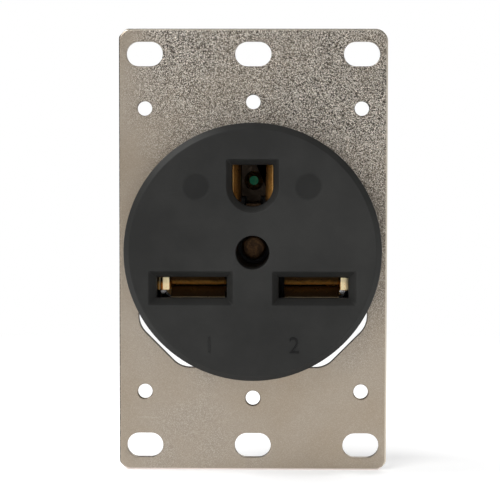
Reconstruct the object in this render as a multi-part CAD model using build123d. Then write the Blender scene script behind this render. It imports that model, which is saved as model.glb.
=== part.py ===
from build123d import *

import os

# Straight blade receptacle on a flat strap, in millimetres.
# X runs to the right as the user sees it, Z runs up, and the user stands at minus Y.
# The origin is the middle of the fixing holes, on the back of the strap.

# Strap: the flat plated plate that screws to the wall box
strap_width = 57.0
strap_height = 94.0
strap_thickness = 1.6
strap_corner_cut = 2.3
strap_corner_round = 1.5
strap_edge_round = 0.3

# Holes of the strap
box_spacing_x = 46.04
box_spacing_z = 83.34
box_slot_length = 7.7
box_slot_height = 5.2
cover_hole_diameter = 3.05
cover_corner_spacing_z = 60.3
cover_middle_spacing_z = 63.1

# Window of the strap, an octagon with wider corners at the bottom
window_width = 48.6
window_height = 50.2
window_upper_cut = 14.6
window_lower_cut = 8.9
window_upper_round = 1.0
window_lower_round = 5.0

# Face moulding: a disc in front of the strap and a collar through its window
face_diameter = 54.0
face_proud = 8.4
face_rim_chamfer = 1.25
collar_clearance = 0.35
collar_recess = 0.1
mould_mark_diameter = 5.5
mould_mark_depth = 0.15

# Blade slots, a lying pair with bevelled mouths
slot_centre_x = 12.75
slot_centre_z = -7.45
slot_length = 14.65
slot_height = 4.4
slot_bevel = 1.4
slot_outer_bevel = 1.7
slot_bevel_depth = 2.2

# Ground socket, flat on top and half round below
ground_half_width = 4.3
ground_top_z = 18.25
ground_arc_z = 13.8
ground_bevel = 1.25
ground_bevel_depth = 2.0

# Middle well with the rivet that ties the mouldings together
well_diameter = 7.0
well_wall = 1.5
well_floor = 2.0
boss_clearance = 0.15
rivet_head_depth = 22.5
rivet_head_diameter = 5.4
rivet_head_height = 1.0
rivet_shank_diameter = 3.0
rivet_hole_gap = 0.1
rivet_clinch_diameter = 4.8
rivet_clinch_height = 1.1
washer_diameter = 8.0
washer_thickness = 0.8

# Base moulding behind the strap
flange_diameter = 52.8
flange_thickness = 3.0
base_depth = 25.0
barrel_diameter = 50.8
barrel_flat_width = 46.8
barrel_draft = 1.0
base_edge_round = 0.8
core_width = 8.4
core_height = 5.0
core_depth = 4.0
core_round = 1.5
core_centre_x = 6.6
core_centre_z = -17.9
rear_wall = 2.5
rear_well_diameter = 9.0

# Contacts, folded from brass strip
contact_stock = 1.3
bend_radius = 0.5
blade_thickness = 1.9
blade_grip = 0.5
lip_depth = 4.7
lip_half_gap = 2.15
root_half_gap = 1.4
throat_y = -0.8
leaf_root_y = 4.0
leaf_rear_y = 12.0
web_front_y = 14.0
leaf_inset_x = 0.775
end_wall_inset_x = 2.075
end_tab_top = 2.05
end_tab_bottom = -0.7
end_tab_thickness = 1.75
end_tab_round = 0.5
contact_play_x = 0.45
leaf_slit = 0.25
tail_half_width = 2.2
web_half_width = 4.1
web_inner_x = 9.0
web_corner_cut = 1.0

# Ground contact
ground_contact_z = 14.75
ground_leaf_half_width = 4.5
ground_web_half_width = 3.5
ground_lip_half_gap = 4.1
ground_throat_half_gap = 2.7
ground_root_half_gap = 3.1
ground_throat_y = 0.0
ground_root_y = 6.0
ground_shoulder_y = 13.2
ground_tab_half_width = 1.6
ground_tab_front_y = 3.0
ground_tab_gap = 0.35

# Steel springs that squeeze the leaves
spring_stock = 0.6
spring_gap = 0.05
spring_front_y = 6.3
spring_rear_y = 11.5
spring_arm_x = 9.0
ground_spring_top_z = 17.5

# Room round the contacts in the mouldings
chamber_clearance = 0.3
chamber_lip_room = 0.85

# Terminals: a screw from behind pulls a clamp plate on to the wire
terminal_x = 14.0
screw_diameter = 4.0
screw_length = 7.0
screw_tip_diameter = 2.1
screw_tip_length = 0.8
screw_head_diameter = 7.4
screw_head_height = 2.6
screw_slot_width = 1.1
screw_slot_depth = 1.2
thread_gap = 0.05
screw_tip_proud = 0.7
clamp_size = 9.4
clamp_thickness = 1.4
clamp_groove_radius = 1.3
clamp_groove_depth = 0.5
clamp_hole_gap = 0.3
clamp_corner_round = 0.8
pocket_clearance = 1.0
pocket_corner_round = 1.0
web_lip_height = 0.6
web_lip_overlap = 0.7

# Assembly screws, hidden behind the two round marks on the face
assembly_x = 11.7
assembly_z = 13.8
assembly_shank_diameter = 2.9
assembly_shank_length = 22.0
assembly_head_diameter = 5.8
assembly_head_height = 2.2
assembly_head_y = 14.0
assembly_slot_width = 0.8
assembly_slot_depth = 1.1
assembly_recess_gap = 0.4

# Bond strip between the ground contact and the strap
bond_thickness = 0.8
bond_half_width = 2.5
bond_top_z = 26.1
bond_rear_y = 10.0

# Depths and places that follow from the sizes above
strap_front = -strap_thickness
face_front = strap_front - face_proud
collar_rear = -collar_recess
slot_inner_x = slot_centre_x - slot_length / 2
slot_outer_x = slot_centre_x + slot_length / 2
lip_front = face_front + lip_depth
chamber_front = lip_front - chamber_clearance
throat_half_gap = (blade_thickness - blade_grip) / 2
web_rear_y = web_front_y + contact_stock
pocket_floor_y = web_rear_y + web_lip_height
leaf_inner_x = slot_inner_x + leaf_inset_x
end_wall_x = slot_outer_x - end_wall_inset_x
end_wall_outer_x = end_wall_x + contact_stock
spring_room = contact_stock + spring_gap + spring_stock + chamber_clearance
chamber_outer_x = end_wall_x + contact_play_x + spring_room
chamber_half_height = lip_half_gap + contact_stock + chamber_lip_room
ground_chamber_half_width = ground_root_half_gap + spring_room
rivet_seat_y = face_front + rivet_head_depth + rivet_head_height
boss_diameter = well_diameter + 2 * well_wall
boss_rear_y = rivet_seat_y + well_floor
boss_bore_y = boss_rear_y + boss_clearance
washer_front_y = boss_bore_y + rear_wall
washer_rear_y = washer_front_y + washer_thickness
rivet_hole_diameter = rivet_shank_diameter + 2 * rivet_hole_gap
screw_tip_y = web_front_y - screw_tip_proud
screw_seat_y = screw_tip_y + screw_length
thread_hole_diameter = screw_diameter + 2 * thread_gap
pocket_half_width = clamp_size / 2 + pocket_clearance
bond_seat_z = ground_contact_z + ground_leaf_half_width


def prism(outline, front, rear):
    """Solid with one front-view outline between two depths."""
    return extrude(Plane.XZ.offset(-rear) * outline, amount=rear - front)


def rod(x, z, diameter, front, rear):
    """Round bar or bore along Y."""
    return prism(Pos(x, z) * Circle(diameter / 2), front, rear)


def block(x_span, y_span, z_span):
    """Box between two values on each axis."""
    spans = (x_span, y_span, z_span)
    middle = [(low + high) / 2 for low, high in spans]
    size = [abs(high - low) for low, high in spans]
    return Pos(*middle) * Box(*size)


def folded_section(corners, thickness, bend):
    """Section of strip folded square at each inner corner, with the strip outside its bends."""
    points = [Vector(*corner) for corner in corners]
    legs = [(end - start).normalized() for start, end in zip(points, points[1:])]
    quarter_turn = 90 if legs[0].cross(legs[1]).Z < 0 else -90
    normals = [leg.rotate(Axis.Z, quarter_turn) for leg in legs]
    shifts = [normals[0], *[a + b for a, b in zip(normals, normals[1:])], normals[-1]]
    outer_points = [point + shift * thickness for point, shift in zip(points, shifts)]
    inside = FilletPolyline(*points, radius=bend)
    outside = FilletPolyline(*outer_points, radius=bend + thickness)
    ends = [Line(points[index], outer_points[index]).edge() for index in (0, -1)]
    return make_face([*inside.edges(), *outside.edges(), *ends])


def window_outline(lower_cut, upper_cut):
    """Octagon with one size of cut on the two lower corners and one on the two upper."""
    half_width = window_width / 2
    half_height = window_height / 2
    right_side = [
        (half_width - lower_cut, -half_height),
        (half_width, lower_cut - half_height),
        (half_width, half_height - upper_cut),
        (half_width - upper_cut, half_height),
    ]
    left_side = [(-x, z) for x, z in reversed(right_side)]
    return make_face(Polyline(*right_side, *left_side, close=True))


def strap_window():
    """Window outline with the round corners of the press tool."""
    outline = window_outline(window_lower_cut, window_upper_cut)
    lower = outline.vertices().filter_by(lambda corner: corner.Y < 0)
    outline = fillet(lower, window_lower_round)
    upper = outline.vertices().filter_by(lambda corner: corner.Y > 0)
    return fillet(upper, window_upper_round)


def make_strap():
    """Pressed plate with its window, six fixing slots and six cover screw holes."""
    sheet = Rectangle(strap_width, strap_height)
    sheet = chamfer(sheet.vertices(), strap_corner_cut)
    sheet = fillet(sheet.vertices(), strap_corner_round)
    plate = prism(sheet, strap_front, 0)
    front_edges = plate.faces().sort_by(Axis.Y)[0].edges()
    plate = fillet(front_edges, strap_edge_round)
    slot = SlotOverall(box_slot_length, box_slot_height)
    slots = GridLocations(box_spacing_x / 2, box_spacing_z, 3, 2) * slot
    cover_hole = Circle(cover_hole_diameter / 2)
    corner_holes = GridLocations(box_spacing_x, cover_corner_spacing_z, 2, 2) * cover_hole
    middle_holes = GridLocations(0, cover_middle_spacing_z, 1, 2) * cover_hole
    openings = strap_window() + slots + corner_holes + middle_holes
    return plate - prism(openings, strap_front, 0)


def slot_mouth():
    """Cutter for the right-hand blade slot: a bevelled mouth and the straight slot behind it."""
    bevel_inner_x = slot_inner_x - slot_bevel
    bevel_outer_x = slot_outer_x + slot_outer_bevel
    bevel_place = Pos((bevel_inner_x + bevel_outer_x) / 2, slot_centre_z)
    wide = bevel_place * Rectangle(bevel_outer_x - bevel_inner_x, slot_height + 2 * slot_bevel)
    narrow = Pos(slot_centre_x, slot_centre_z) * Rectangle(slot_length, slot_height)
    bevel_rear = face_front + slot_bevel_depth
    bevel = loft([Plane.XZ.offset(-face_front) * wide, Plane.XZ.offset(-bevel_rear) * narrow])
    return bevel + prism(narrow, bevel_rear, chamber_front)


def arched_outline(half_width, top_z):
    """Ground socket outline: flat top, straight sides, half-round bottom."""
    height = top_z - ground_arc_z
    upper = Pos(0, ground_arc_z + height / 2) * Rectangle(2 * half_width, height)
    return upper + Pos(0, ground_arc_z) * Circle(half_width)


def ground_mouth():
    """Cutter for the ground socket: a bevelled mouth and the straight socket behind it."""
    wide = arched_outline(ground_half_width + ground_bevel, ground_top_z + ground_bevel)
    narrow = arched_outline(ground_half_width, ground_top_z)
    bevel_rear = face_front + ground_bevel_depth
    bevel = loft([Plane.XZ.offset(-face_front) * wide, Plane.XZ.offset(-bevel_rear) * narrow])
    return bevel + prism(narrow, bevel_rear, chamber_front)


def blade_chamber(rear):
    """Room for the right-hand contact, from behind the slot to a given depth."""
    inner_x = leaf_inner_x - contact_play_x - chamber_clearance
    z_span = (slot_centre_z - chamber_half_height, slot_centre_z + chamber_half_height)
    return block((inner_x, chamber_outer_x), (chamber_front, rear), z_span)


def ground_floor_z():
    """Lowest point of the ground chamber, under the spring."""
    spring_low = ground_tab_top_z() - contact_stock - spring_gap - spring_stock
    return spring_low - chamber_clearance


def ground_tab_top_z():
    """Upper side of the tongue under the ground pin."""
    return ground_contact_z - ground_leaf_half_width - ground_tab_gap


def ground_chamber(rear):
    """Room for the ground contact and its spring."""
    top = bond_seat_z + bond_thickness + chamber_clearance / 2
    x_span = (-ground_chamber_half_width, ground_chamber_half_width)
    lips = ground_lip_half_gap + contact_stock + chamber_clearance
    front_room = block((-lips, lips), (chamber_front, ground_throat_y), (ground_floor_z(), top))
    return front_room + block(x_span, (chamber_front, rear), (ground_floor_z(), top))


def mirrored(solid):
    """The same solid on the other side of the middle."""
    return mirror(solid, about=Plane.YZ)


def both_sides(solid):
    """A solid and its mirror image."""
    return solid + mirrored(solid)


def make_face_moulding():
    """Front moulding: disc, collar, middle boss, two slots, the ground socket and their rooms."""
    disc = prism(Circle(face_diameter / 2), face_front, strap_front)
    disc = chamfer(disc.faces().sort_by(Axis.Y)[0].edges(), face_rim_chamfer)
    collar = offset(window_outline(window_upper_cut, window_upper_cut), amount=-collar_clearance)
    body = disc + prism(collar, strap_front, collar_rear)
    body += rod(0, 0, boss_diameter, strap_front, boss_rear_y)
    body -= both_sides(slot_mouth() + blade_chamber(collar_rear))
    body -= ground_mouth() + ground_chamber(collar_rear)
    body -= rod(0, 0, well_diameter, face_front, rivet_seat_y)
    body -= rod(0, 0, rivet_hole_diameter, rivet_seat_y, boss_rear_y)
    mark_floor_y = face_front + mould_mark_depth
    body -= both_sides(rod(assembly_x, assembly_z, mould_mark_diameter, face_front, mark_floor_y))
    pilot_front = assembly_head_y - assembly_shank_length - chamber_clearance
    pilot_diameter = assembly_shank_diameter + 2 * thread_gap
    body -= both_sides(rod(assembly_x, assembly_z, pilot_diameter, pilot_front, collar_rear))
    return body


def barrel():
    """Body of the base: a round block with a flat on each side, drawn in towards the back."""
    outline = Circle(barrel_diameter / 2) & Rectangle(barrel_flat_width, barrel_diameter)
    plane = Plane((0, flange_thickness, 0), x_dir=(1, 0, 0), z_dir=(0, 1, 0))
    body = extrude(plane * outline, amount=base_depth - flange_thickness, taper=barrel_draft)
    return fillet(body.faces().sort_by(Axis.Y)[-1].edges(), base_edge_round)


def blade_terminal_pocket():
    """Right-hand wire pocket, open to the side and to the back."""
    inner_x = terminal_x - contact_play_x - pocket_half_width
    middle = Pos((inner_x + flange_diameter) / 2, slot_centre_z)
    outline = middle * Rectangle(flange_diameter - inner_x, 2 * pocket_half_width)
    inner_corners = outline.vertices().group_by(Axis.X)[0]
    return prism(fillet(inner_corners, pocket_corner_round), pocket_floor_y, base_depth)


def ground_terminal_pocket():
    """Upper wire pocket, open to the top and to the back."""
    low_z = ground_contact_z - pocket_half_width
    middle = Pos(0, (low_z + flange_diameter) / 2)
    outline = middle * Rectangle(2 * pocket_half_width, flange_diameter - low_z)
    inner_corners = outline.vertices().group_by(Axis.Y)[0]
    return prism(fillet(inner_corners, pocket_corner_round), pocket_floor_y, base_depth)


def cored_recess():
    """Right-hand recess in the back that keeps the moulding's lower wall even."""
    outline = fillet(Rectangle(core_width, core_height).vertices(), core_round)
    place = Pos(core_centre_x, core_centre_z)
    return prism(place * outline, base_depth - core_depth, base_depth)


def blade_web_window():
    """Hole in the floor of a wire pocket that frames the threaded web from behind."""
    inset = contact_play_x + web_lip_overlap
    half_z = web_half_width - web_lip_overlap
    x_span = (web_inner_x + inset, end_wall_outer_x - inset)
    return block(x_span, (web_rear_y, pocket_floor_y), (slot_centre_z - half_z, slot_centre_z + half_z))


def ground_web_window():
    """Hole in the floor of the upper wire pocket that frames the ground web."""
    half_x = ground_root_half_gap + contact_stock - web_lip_overlap
    half_z = ground_web_half_width - web_lip_overlap
    z_span = (ground_contact_z - half_z, ground_contact_z + half_z)
    return block((-half_x, half_x), (web_rear_y, pocket_floor_y), z_span)


def make_base():
    """Rear moulding: flange on the strap, contact rooms in front, wire pockets behind."""
    body = prism(Circle(flange_diameter / 2), 0, flange_thickness) + barrel()
    window_inner_x = web_inner_x - contact_play_x - chamber_clearance
    tail_z = web_half_width + chamber_clearance / 2
    tail_room = block(
        (window_inner_x, end_wall_outer_x + contact_play_x + chamber_clearance),
        (leaf_rear_y, web_rear_y),
        (slot_centre_z - tail_z, slot_centre_z + tail_z),
    )
    shelf_y = leaf_rear_y + chamber_clearance
    body -= both_sides(blade_chamber(shelf_y) + tail_room + blade_web_window() + blade_terminal_pocket())
    web_z = ground_web_half_width + chamber_clearance / 2
    web_x = ground_root_half_gap + contact_stock + chamber_clearance
    web_room = block((-web_x, web_x), (0, web_rear_y), (ground_contact_z - web_z, ground_contact_z + web_z))
    tab_x = ground_tab_half_width + chamber_clearance
    tab_room = block((-tab_x, tab_x), (0, web_rear_y), (ground_floor_z(), ground_contact_z))
    body -= ground_chamber(ground_shoulder_y) + web_room + tab_room
    body -= ground_web_window() + ground_terminal_pocket()
    body -= rod(0, 0, boss_diameter + 2 * boss_clearance, 0, boss_bore_y)
    body -= rod(0, 0, rivet_hole_diameter, boss_bore_y, washer_front_y)
    body -= rod(0, 0, rear_well_diameter, washer_front_y, base_depth)
    shank_hole_diameter = assembly_shank_diameter + 2 * thread_gap
    shank_hole = rod(assembly_x, assembly_z, shank_hole_diameter, 0, assembly_head_y)
    recess_diameter = assembly_head_diameter + 2 * assembly_recess_gap
    head_recess = rod(assembly_x, assembly_z, recess_diameter, assembly_head_y, base_depth)
    body -= both_sides(shank_hole + head_recess + cored_recess())
    bond_x = (-bond_half_width - chamber_clearance / 2, bond_half_width + chamber_clearance / 2)
    body -= block(bond_x, (0, bond_thickness), (ground_contact_z, bond_top_z))
    bond_bend = bond_thickness + bend_radius
    body -= block(bond_x, (0, bond_bend), (ground_contact_z, bond_seat_z + bond_bend))
    return body


def bowed_leaf(rear, root, throat, lip, side):
    """Section of a leaf: straight to its root, then bowed in to its throat and out to its lip."""
    spine = Line(rear, root) + ThreePointArc(root, throat, lip)
    return make_face(offset(spine, amount=contact_stock, side=side))


def make_blade_contact():
    """Right-hand contact: two bowed leaves, the end wall with its front tab, and the threaded web."""
    channel_corners = [
        (leaf_inner_x, root_half_gap),
        (end_wall_x, root_half_gap),
        (end_wall_x, -root_half_gap),
        (leaf_inner_x, -root_half_gap),
    ]
    channel_section = folded_section(channel_corners, contact_stock, bend_radius)
    channel = prism(Pos(0, slot_centre_z) * channel_section, leaf_root_y, leaf_rear_y)
    leaf_section = bowed_leaf(
        (leaf_rear_y, root_half_gap),
        (leaf_root_y, root_half_gap),
        (throat_y, throat_half_gap),
        (lip_front, lip_half_gap),
        Side.RIGHT,
    )
    leaf_length = end_wall_x - leaf_slit - leaf_inner_x
    upper_leaf = extrude(Plane.YZ.offset(leaf_inner_x) * leaf_section, amount=leaf_length)
    leaves = upper_leaf + mirror(upper_leaf, about=Plane.XY)
    tab_outer_x = end_wall_x + end_tab_thickness
    tab_outline = make_face(Polyline(
        (end_wall_x, lip_front),
        (tab_outer_x, lip_front),
        (tab_outer_x, throat_y),
        (end_wall_outer_x, leaf_root_y),
        (end_wall_x, leaf_root_y),
        close=True,
    ))
    outer_corner = tab_outline.vertices().sort_by(lambda point: point.Y - point.X)[0]
    tab_outline = fillet(outer_corner, end_tab_round)
    tab_low_z = slot_centre_z + end_tab_bottom
    tab = Pos(0, 0, tab_low_z) * extrude(tab_outline, amount=end_tab_top - end_tab_bottom)
    tail_corners = [
        (end_wall_x, leaf_rear_y),
        (end_wall_x, web_front_y),
        (web_inner_x, web_front_y),
    ]
    tail_section = folded_section(tail_corners, contact_stock, bend_radius)
    tail = Pos(0, 0, slot_centre_z) * extrude(tail_section, amount=tail_half_width, both=True)
    web_outline = Rectangle(end_wall_x - web_inner_x, 2 * web_half_width)
    web_outline = chamfer(web_outline.vertices(), web_corner_cut)
    web_place = Pos((end_wall_x + web_inner_x) / 2, slot_centre_z)
    web = prism(web_place * web_outline, web_front_y, web_rear_y)
    contact = channel + Pos(0, 0, slot_centre_z) * leaves + tab + tail + web
    return contact - rod(terminal_x, slot_centre_z, thread_hole_diameter, web_front_y, web_rear_y)


def make_ground_contact():
    """Ground contact: a channel with two bowed leaves, a threaded web and a tongue below."""
    channel_corners = [
        (-ground_root_half_gap, ground_root_y),
        (-ground_root_half_gap, web_front_y),
        (ground_root_half_gap, web_front_y),
        (ground_root_half_gap, ground_root_y),
    ]
    channel = folded_section(channel_corners, contact_stock, bend_radius)
    right_leaf = bowed_leaf(
        (ground_root_half_gap, ground_shoulder_y),
        (ground_root_half_gap, ground_root_y),
        (ground_throat_half_gap, ground_throat_y),
        (ground_lip_half_gap, lip_front),
        Side.LEFT,
    )
    folded = channel + right_leaf + mirror(right_leaf, about=Plane.YZ)
    contact = Pos(0, 0, ground_contact_z) * extrude(folded, amount=ground_leaf_half_width, both=True)
    outer_x = ground_root_half_gap + contact_stock
    rear_span = (ground_shoulder_y, web_rear_y)
    for side in (-1, 1):
        low = ground_contact_z + side * ground_web_half_width
        high = ground_contact_z + side * ground_leaf_half_width
        contact -= block((-outer_x, outer_x), rear_span, (min(low, high), max(low, high)))
    tongue_top = ground_tab_top_z()
    tongue_corners = [
        (ground_tab_front_y, tongue_top),
        (web_front_y, tongue_top),
        (web_front_y, ground_contact_z - ground_web_half_width + contact_stock),
    ]
    tongue_section = folded_section(tongue_corners, contact_stock, bend_radius)
    contact += extrude(Plane.YZ * tongue_section, amount=ground_tab_half_width, both=True)
    return contact - rod(0, ground_contact_z, thread_hole_diameter, web_front_y, web_rear_y)


def make_blade_spring():
    """Steel clip round the right-hand contact."""
    arm_z = root_half_gap + contact_stock + spring_gap
    back_x = end_wall_outer_x + spring_gap
    corners = [
        (spring_arm_x, arm_z),
        (back_x, arm_z),
        (back_x, -arm_z),
        (spring_arm_x, -arm_z),
    ]
    section = folded_section(corners, spring_stock, bend_radius + contact_stock + spring_gap)
    return prism(Pos(0, slot_centre_z) * section, spring_front_y, spring_rear_y)


def make_ground_spring():
    """Steel clip round the ground contact, put on from below."""
    arm_x = ground_root_half_gap + contact_stock + spring_gap
    low_z = ground_tab_top_z() - contact_stock - spring_gap
    corners = [
        (-arm_x, ground_spring_top_z),
        (-arm_x, low_z),
        (arm_x, low_z),
        (arm_x, ground_spring_top_z),
    ]
    section = folded_section(corners, spring_stock, bend_radius)
    return prism(section, spring_front_y, spring_rear_y)


def make_terminal_screw():
    """Screw on the Y axis with its tip forward, a domed head and a driver slot."""
    radius = screw_diameter / 2
    tip_radius = screw_tip_diameter / 2
    head_radius = screw_head_diameter / 2
    head_rear = screw_seat_y + screw_head_height
    rim_y = screw_seat_y + screw_head_height / 2
    profile = make_face([
        *Polyline(
            (0, head_rear),
            (0, screw_tip_y),
            (tip_radius, screw_tip_y),
            (radius, screw_tip_y + screw_tip_length),
            (radius, screw_seat_y),
            (head_radius, screw_seat_y),
            (head_radius, rim_y),
        ).edges(),
        RadiusArc((head_radius, rim_y), (0, head_rear), -screw_head_diameter).edge(),
    ])
    screw = revolve(profile, Axis.Y)
    slot_z = (-screw_slot_width / 2, screw_slot_width / 2)
    return screw - block((-head_radius, head_radius), (head_rear - screw_slot_depth, head_rear), slot_z)


def make_wire_clamp(across):
    """Square clamp plate on the screw, with a wire groove on each side of it along one axis."""
    outline = Rectangle(clamp_size, clamp_size)
    outline = fillet(outline.vertices(), clamp_corner_round)
    front = screw_seat_y - clamp_thickness
    plate = prism(outline, front, screw_seat_y)
    plate -= rod(0, 0, screw_diameter + 2 * clamp_hole_gap, front, screw_seat_y)
    groove_step = (clamp_size + screw_diameter) / 4 + clamp_hole_gap / 2
    axis_y = front - clamp_groove_radius + clamp_groove_depth
    for side in (-1, 1):
        groove = Cylinder(clamp_groove_radius, clamp_size)
        plate -= Pos(side * groove_step, axis_y, 0) * groove
    return plate.rotate(Axis.Y, across)


def make_assembly_screw():
    """Long screw from the base into the face moulding, with a pan head and a driver slot."""
    front = assembly_head_y - assembly_shank_length
    rear = assembly_head_y + assembly_head_height
    shank = rod(0, 0, assembly_shank_diameter, front, assembly_head_y)
    shank = chamfer(shank.faces().sort_by(Axis.Y)[0].edges(), assembly_shank_diameter / 4)
    head = rod(0, 0, assembly_head_diameter, assembly_head_y, rear)
    head = fillet(head.faces().sort_by(Axis.Y)[-1].edges(), assembly_head_height / 3)
    half_head = assembly_head_diameter / 2
    slot_z = (-assembly_slot_width / 2, assembly_slot_width / 2)
    slot = block((-half_head, half_head), (rear - assembly_slot_depth, rear), slot_z)
    return shank + head - slot


def make_rivet():
    """Middle rivet: low domed head in the well, shank, and the clinched end on its washer."""
    head_radius = rivet_head_diameter / 2
    shank_radius = rivet_shank_diameter / 2
    clinch_radius = rivet_clinch_diameter / 2
    head_front = rivet_seat_y - rivet_head_height
    rim_y = rivet_seat_y - rivet_head_height / 2
    end_y = washer_rear_y + rivet_clinch_height
    profile = make_face([
        RadiusArc((0, head_front), (head_radius, rim_y), 2 * rivet_head_diameter).edge(),
        *Polyline(
            (head_radius, rim_y),
            (head_radius, rivet_seat_y),
            (shank_radius, rivet_seat_y),
            (shank_radius, washer_rear_y),
            (clinch_radius, washer_rear_y),
            (shank_radius, end_y),
            (0, end_y),
            (0, head_front),
        ).edges(),
    ])
    return revolve(profile, Axis.Y)


def make_washer():
    """Flat washer under the clinched end of the rivet."""
    ring = rod(0, 0, washer_diameter, washer_front_y, washer_rear_y)
    return ring - rod(0, 0, rivet_hole_diameter, washer_front_y, washer_rear_y)


def make_bond_strip():
    """Bent strip that lies on the ground contact and presses on the back of the strap."""
    corners = [
        (bond_rear_y, bond_seat_z + bond_thickness),
        (bond_thickness, bond_seat_z + bond_thickness),
        (bond_thickness, bond_top_z),
    ]
    section = folded_section(corners, bond_thickness, bend_radius)
    return extrude(Plane.YZ * section, amount=bond_half_width, both=True)


def in_chamber(solid):
    """Move a piece of a blade contact by the play of the contacts in their rooms."""
    return Pos(contact_play_x, 0, 0) * solid


blade_contact = make_blade_contact()
blade_spring = make_blade_spring()
terminal_screw = make_terminal_screw()
blade_clamp = make_wire_clamp(across=90)
assembly_screw = make_assembly_screw()
blade_screw = Pos(terminal_x, 0, slot_centre_z) * terminal_screw
blade_clamp = Pos(terminal_x, 0, slot_centre_z) * blade_clamp

pieces = {
    "strap": make_strap(),
    "face": make_face_moulding(),
    "base": make_base(),
    "contact_right": in_chamber(blade_contact),
    "contact_left": in_chamber(mirrored(blade_contact)),
    "contact_ground": make_ground_contact(),
    "spring_right": in_chamber(blade_spring),
    "spring_left": in_chamber(mirrored(blade_spring)),
    "spring_ground": make_ground_spring(),
    "terminal_screw_right": in_chamber(blade_screw),
    "terminal_screw_left": in_chamber(mirrored(blade_screw)),
    "ground_screw": Pos(0, 0, ground_contact_z) * terminal_screw,
    "wire_clamp_right": in_chamber(blade_clamp),
    "wire_clamp_left": in_chamber(mirrored(blade_clamp)),
    "wire_clamp_ground": Pos(0, 0, ground_contact_z) * make_wire_clamp(across=0),
    "assembly_screw_right": Pos(assembly_x, 0, assembly_z) * assembly_screw,
    "assembly_screw_left": Pos(-assembly_x, 0, assembly_z) * assembly_screw,
    "centre_rivet": make_rivet(),
    "rivet_washer": make_washer(),
    "bond_strip": make_bond_strip(),
}

os.makedirs("parts", exist_ok=True)
for name, piece in pieces.items():
    export_step(piece, f"parts/{name}.step")
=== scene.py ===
"""Looks of a flush straight blade receptacle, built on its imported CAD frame.

Lengths are in millimetres until a mesh is written, which turns them into metres. X runs to the
right as the user sees the face, Z runs up, and the user stands at minus Y.
"""

import logging
import math
from dataclasses import dataclass
from enum import Enum
from typing import Sequence

import bmesh
import bpy
import numpy as np
from mathutils import Euler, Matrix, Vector
from mathutils.geometry import delaunay_2d_cdt


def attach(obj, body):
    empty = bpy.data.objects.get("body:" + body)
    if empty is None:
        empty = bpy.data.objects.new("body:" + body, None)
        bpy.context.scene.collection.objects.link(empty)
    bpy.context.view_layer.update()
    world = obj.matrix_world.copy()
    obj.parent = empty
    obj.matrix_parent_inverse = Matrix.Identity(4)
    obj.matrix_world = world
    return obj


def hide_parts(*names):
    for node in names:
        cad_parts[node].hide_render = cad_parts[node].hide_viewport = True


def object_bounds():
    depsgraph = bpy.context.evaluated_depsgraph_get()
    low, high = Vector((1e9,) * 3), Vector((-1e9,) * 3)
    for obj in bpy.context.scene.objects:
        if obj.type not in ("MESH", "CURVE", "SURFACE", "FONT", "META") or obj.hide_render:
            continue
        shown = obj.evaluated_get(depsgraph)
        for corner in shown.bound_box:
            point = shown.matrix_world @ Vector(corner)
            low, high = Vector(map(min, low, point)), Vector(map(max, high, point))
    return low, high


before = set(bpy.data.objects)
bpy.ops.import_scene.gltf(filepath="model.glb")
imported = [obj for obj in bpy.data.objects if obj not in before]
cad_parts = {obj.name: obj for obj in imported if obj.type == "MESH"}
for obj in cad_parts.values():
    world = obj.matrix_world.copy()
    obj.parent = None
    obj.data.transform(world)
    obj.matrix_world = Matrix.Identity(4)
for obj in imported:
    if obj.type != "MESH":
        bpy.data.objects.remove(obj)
CAD_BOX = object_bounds()
METRES = 0.001
WELD_DISTANCE = 1e-6
COLLAPSED_LENGTH = 1e-7
FLAT_ANGLE = math.radians(0.2)
QUARTER_TURN = np.pi / 2
FULL_TURN = 2 * np.pi
# Colour of the painted shade on the floors of driver slots.
SLOT_FLOOR_SHADE = (0.020, 0.016, 0.012)
LOG = logging.getLogger("receptacle")

Array = np.ndarray
Pair = tuple[float, float]
Triple = tuple[float, float, float]
Colour = tuple[float, float, float]
Fade = tuple[Pair, Pair]
Socket = bpy.types.NodeSocket
Material = bpy.types.Material


# Outlines and profiles


def rounded_outline(corners: Sequence[Pair], radii: Sequence[float], steps: int = 10) -> Array:
    """Polygon with an arc at each corner, as one closed row of points.

    The arc's ends lie radius / tan(half the corner's angle) from the corner along its two sides,
    and its points turn evenly about a centre on the bisector, radius / sin(half the angle) away.

    Args:
        corners: Corner points (x, z), counter-clockwise as the user sees them.
        radii: Radius of the arc at each corner.
        steps: Number of spans in each arc.

    Returns:
        Points as an array of shape (corners * (steps + 1), 2).
    """
    points = np.asarray(corners, float)
    radius = np.asarray(radii, float)[:, None]
    back = np.roll(points, 1, 0) - points
    ahead = np.roll(points, -1, 0) - points
    back /= np.linalg.norm(back, axis=1, keepdims=True)
    ahead /= np.linalg.norm(ahead, axis=1, keepdims=True)
    half = np.arccos(np.clip((back * ahead).sum(1, keepdims=True), -1, 1)) / 2
    bisector = (back + ahead) / np.linalg.norm(back + ahead, axis=1, keepdims=True)
    centre = points + bisector * radius / np.sin(half)
    first = points + back * radius / np.tan(half) - centre
    last = points + ahead * radius / np.tan(half) - centre
    start = np.arctan2(first[:, 1], first[:, 0])
    turn = np.arctan2(last[:, 1], last[:, 0]) - start
    turn = (turn + np.pi) % FULL_TURN - np.pi
    angle = start[:, None] + turn[:, None] * np.linspace(0, 1, steps + 1)
    arc = np.stack((np.cos(angle), np.sin(angle)), -1) * radius[:, :, None]
    return (centre[:, None, :] + arc).reshape(-1, 2)


def rectangle(x_span: Pair, z_span: Pair, radius: float, steps: int = 10) -> Array:
    """Outline of a rectangle with one radius on its four corners.

    Args:
        x_span: Its left and right sides.
        z_span: Its lower and upper sides.
        radius: Radius of its corners.
        steps: Number of spans in each arc.

    Returns:
        Points of shape (4 * (steps + 1), 2).
    """
    (left, right), (low, high) = x_span, z_span
    corners = [(left, low), (right, low), (right, high), (left, high)]
    return rounded_outline(corners, [radius] * 4, steps)


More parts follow.
